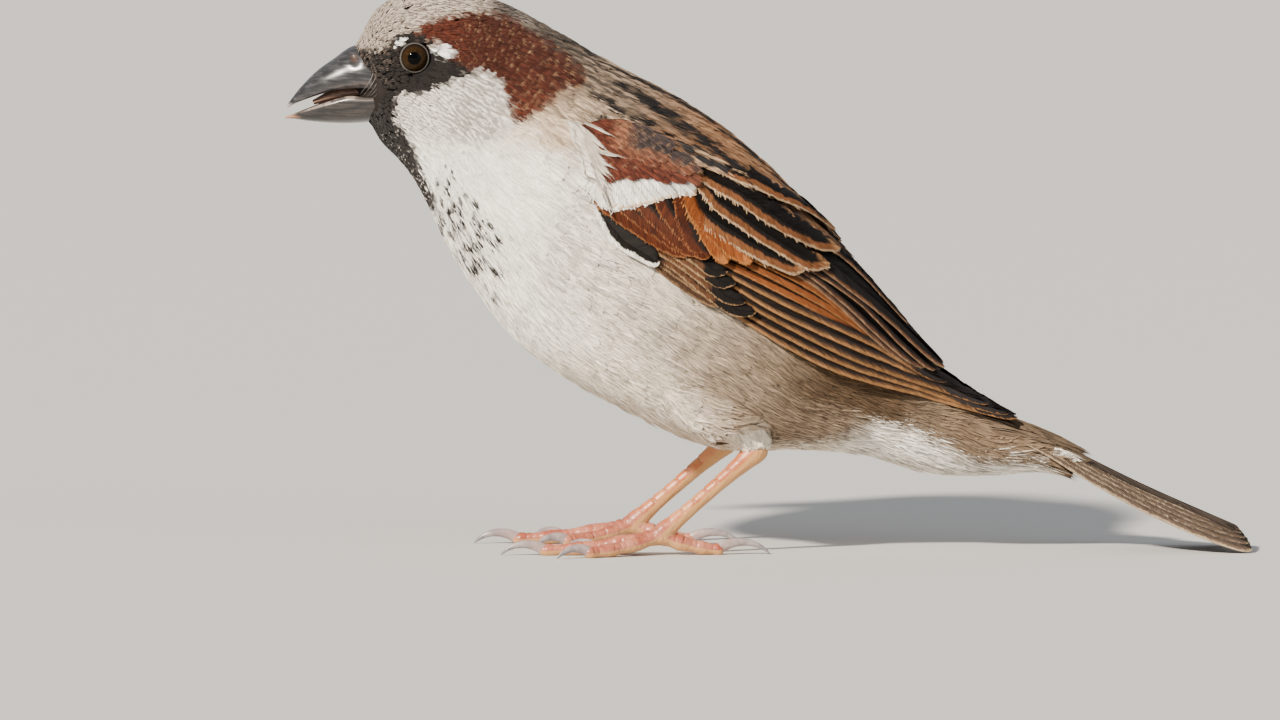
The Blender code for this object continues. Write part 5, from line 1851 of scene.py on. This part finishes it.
def lesserCoverts(side, base):
    coat = lesserFeathers
    rng = np.random.default_rng(606)
    s, t = gridOf(np.arange(-0.24, 2.7, 0.17), np.arange(-0.25, 0.7, 0.055))
    s, t = (s + rng.normal(0, 0.03, s.shape)).ravel(), (t + rng.normal(0, 0.012, t.shape)).ravel()
    inside = outlineMask(s, t * 3, [(x, y * 3) for x, y in lesserArea], 0.02) > 0.5
    s, t = s[inside], t[inside]
    count = len(s)
    upper = ramp(t, 0.16, -0.02) * ramp(s, 0.2, 1.0)
    slate = ramp(s, 0.9, 1.4) * ramp(t, 0.045, 0.0) * ramp(t, -0.20, -0.14)
    web = blend(blend(lesserPaint["web"], lesserPaint["upper"], upper), lesserPaint["slate"], 0.9 * slate)
    web = web * (1 + rng.normal(0, 0.08, count))[:, None]
    tipStart = np.where(rng.random(count) < 0.15 + 0.6 * upper, 0.82, 2.0)
    roots = wingRoots(side, s, t, (0.08, 0.021), -0.5)
    roots.update(uv=together(0.02 + s / 9, 0.5 + 0.3 * t), shape=rng.integers(0, 3, count),
                 webColor=web, coreColor=web * 0.5, tipColor=np.full((count, 3), lesserPaint["tip"]))
    roots["pattern"] = together(0.25, tipStart, rng.random(count))
    roots["size"] = together(coat["width"], coat["length"], coat["lift"] + rng.normal(0, 0.04, count))
    obj = layCoat("lesserCoverts_" + side, roots, crispShapes, coat["rootHeight"], 1.6, base)


lesserFeathers = {"length": 4.3, "width": 2.1, "lift": 1.05, "rootHeight": 1.7}
lesserPaint = {"web": (0.125, 0.031, 0.0165), "upper": (0.26, 0.105, 0.055), "slate": (0.035, 0.033, 0.035),
               "tip": (0.36, 0.21, 0.12)}

frontHairs = {"count": 120, "roots": ((-0.42, -0.02), (-0.35, 0.2), (-0.1, 0.42), (0.05, 0.62), (0.15, 0.76)),
              "scatter": (0.26, 0.02), "length": 7.0, "width": 0.5}


def hairsOverWing(side, base):  # pale hairs of the breast that lie across the front of the wing
    rng = np.random.default_rng(808)
    count = frontHairs["count"]
    s, t = splineAt(frontHairs["roots"], rng.random(count)).T
    s = s + frontHairs["scatter"][0] * (rng.random(count) - 0.35)
    t = t + rng.normal(0, frontHairs["scatter"][1], count)
    rooted = wingRoots(side, s, t, (0.1, 0.008 + rng.normal(0, 0.01, count)), 0.0)
    u, a = nearestOnBody(rooted["point"])
    roots = {**markings(u, a, rng), **rooted, "uv": unwrap(u, a), "shape": rng.integers(0, 3, count)}
    for label in coatColors:
        roots[label] = over(roots[label], "breast", 0.65)
    roots["size"] = together(frontHairs["width"] * (0.7 + 0.5 * rng.random(count)),
                             frontHairs["length"] * (0.6 + 0.6 * rng.random(count)),
                             1.0 + 0.25 * rng.random(count))
    coat = layCoat("frontHairs_" + side, roots, hairShapes, rootHeight=2.1, risePower=1.5, skin=base)


headCoat()
trunkCoat()
thighCoat()
for side in sides:
    lesserCoverts(side, wingBases[side])
    scapularCoat(side, wingBases[side])
    hairsOverWing(side, wingBases[side])


# camera, light and floor

view = {"distance": 2.4, "elevation": 4.0, "width": 0.192, "centre": (-0.01845, 0.0, 0.0285), "sensor": 36.0,
        "lightsMeet": (0, 0, 0.04)}


def addCamera():
    data = bpy.data.cameras.new("camera")
    camera = newObject("camera", data)
    data.sensor_width = view["sensor"]
    data.lens = view["sensor"] * view["distance"] / view["width"]
    tilt = math.radians(view["elevation"])
    back = Vector((0, -math.cos(tilt), math.sin(tilt)))
    camera.location = Vector(view["centre"]) + back * view["distance"]
    camera.rotation_mode = "QUATERNION"
    camera.rotation_quaternion = (-back).to_track_quat("-Z", "Y")
    data.clip_start, data.clip_end = 0.01, 20
    bpy.context.scene.camera = camera


def addLight(name, kind, place, energy, size, color):
    data = bpy.data.lights.new(name, kind)
    data.energy = energy
    data.color = color
    if kind == "AREA":
        data.size = size
    else:
        data.angle = size
    light = newObject(name, data)
    light.location = place
    light.rotation_mode = "QUATERNION"
    light.rotation_quaternion = (Vector(view["lightsMeet"]) - Vector(place)).to_track_quat("-Z", "Y")


lights = {
    "sun": {"kind": "SUN", "place": (-0.8, -1.0, 0.85), "energy": 8.2, "size": math.radians(4),
            "color": (1.0, 0.93, 0.82)},
    "fill": {"kind": "AREA", "place": (0.9, -1.0, 0.6), "energy": 3.0, "size": 1.0,
             "color": (0.92, 0.95, 1.0)},
}
floorForm = {"radius": 3000, "level": -0.02, "color": (0.62, 0.60, 0.57)}
room = {"color": (0.80, 0.84, 0.90, 1), "light": 0.55}


def addFloor():
    turns = turnsOf(96)
    radius = floorForm["radius"]
    rim = together(radius * np.cos(turns), radius * np.sin(turns), floorForm["level"])
    material, _, shader = newMaterial("paleFloor", 0.8, 0.3)
    setColor(shader, floorForm["color"])
    meshObject("floor", rim, [tuple(range(96))], material)


addCamera()
addFloor()
for name, light in lights.items():
    addLight(name, **light)
world = bpy.data.worlds.new("softRoom")
world.use_nodes = True
sky = world.node_tree.nodes["Background"]
sky.inputs["Color"].default_value = room["color"]
sky.inputs["Strength"].default_value = room["light"]
bpy.context.scene.world = world
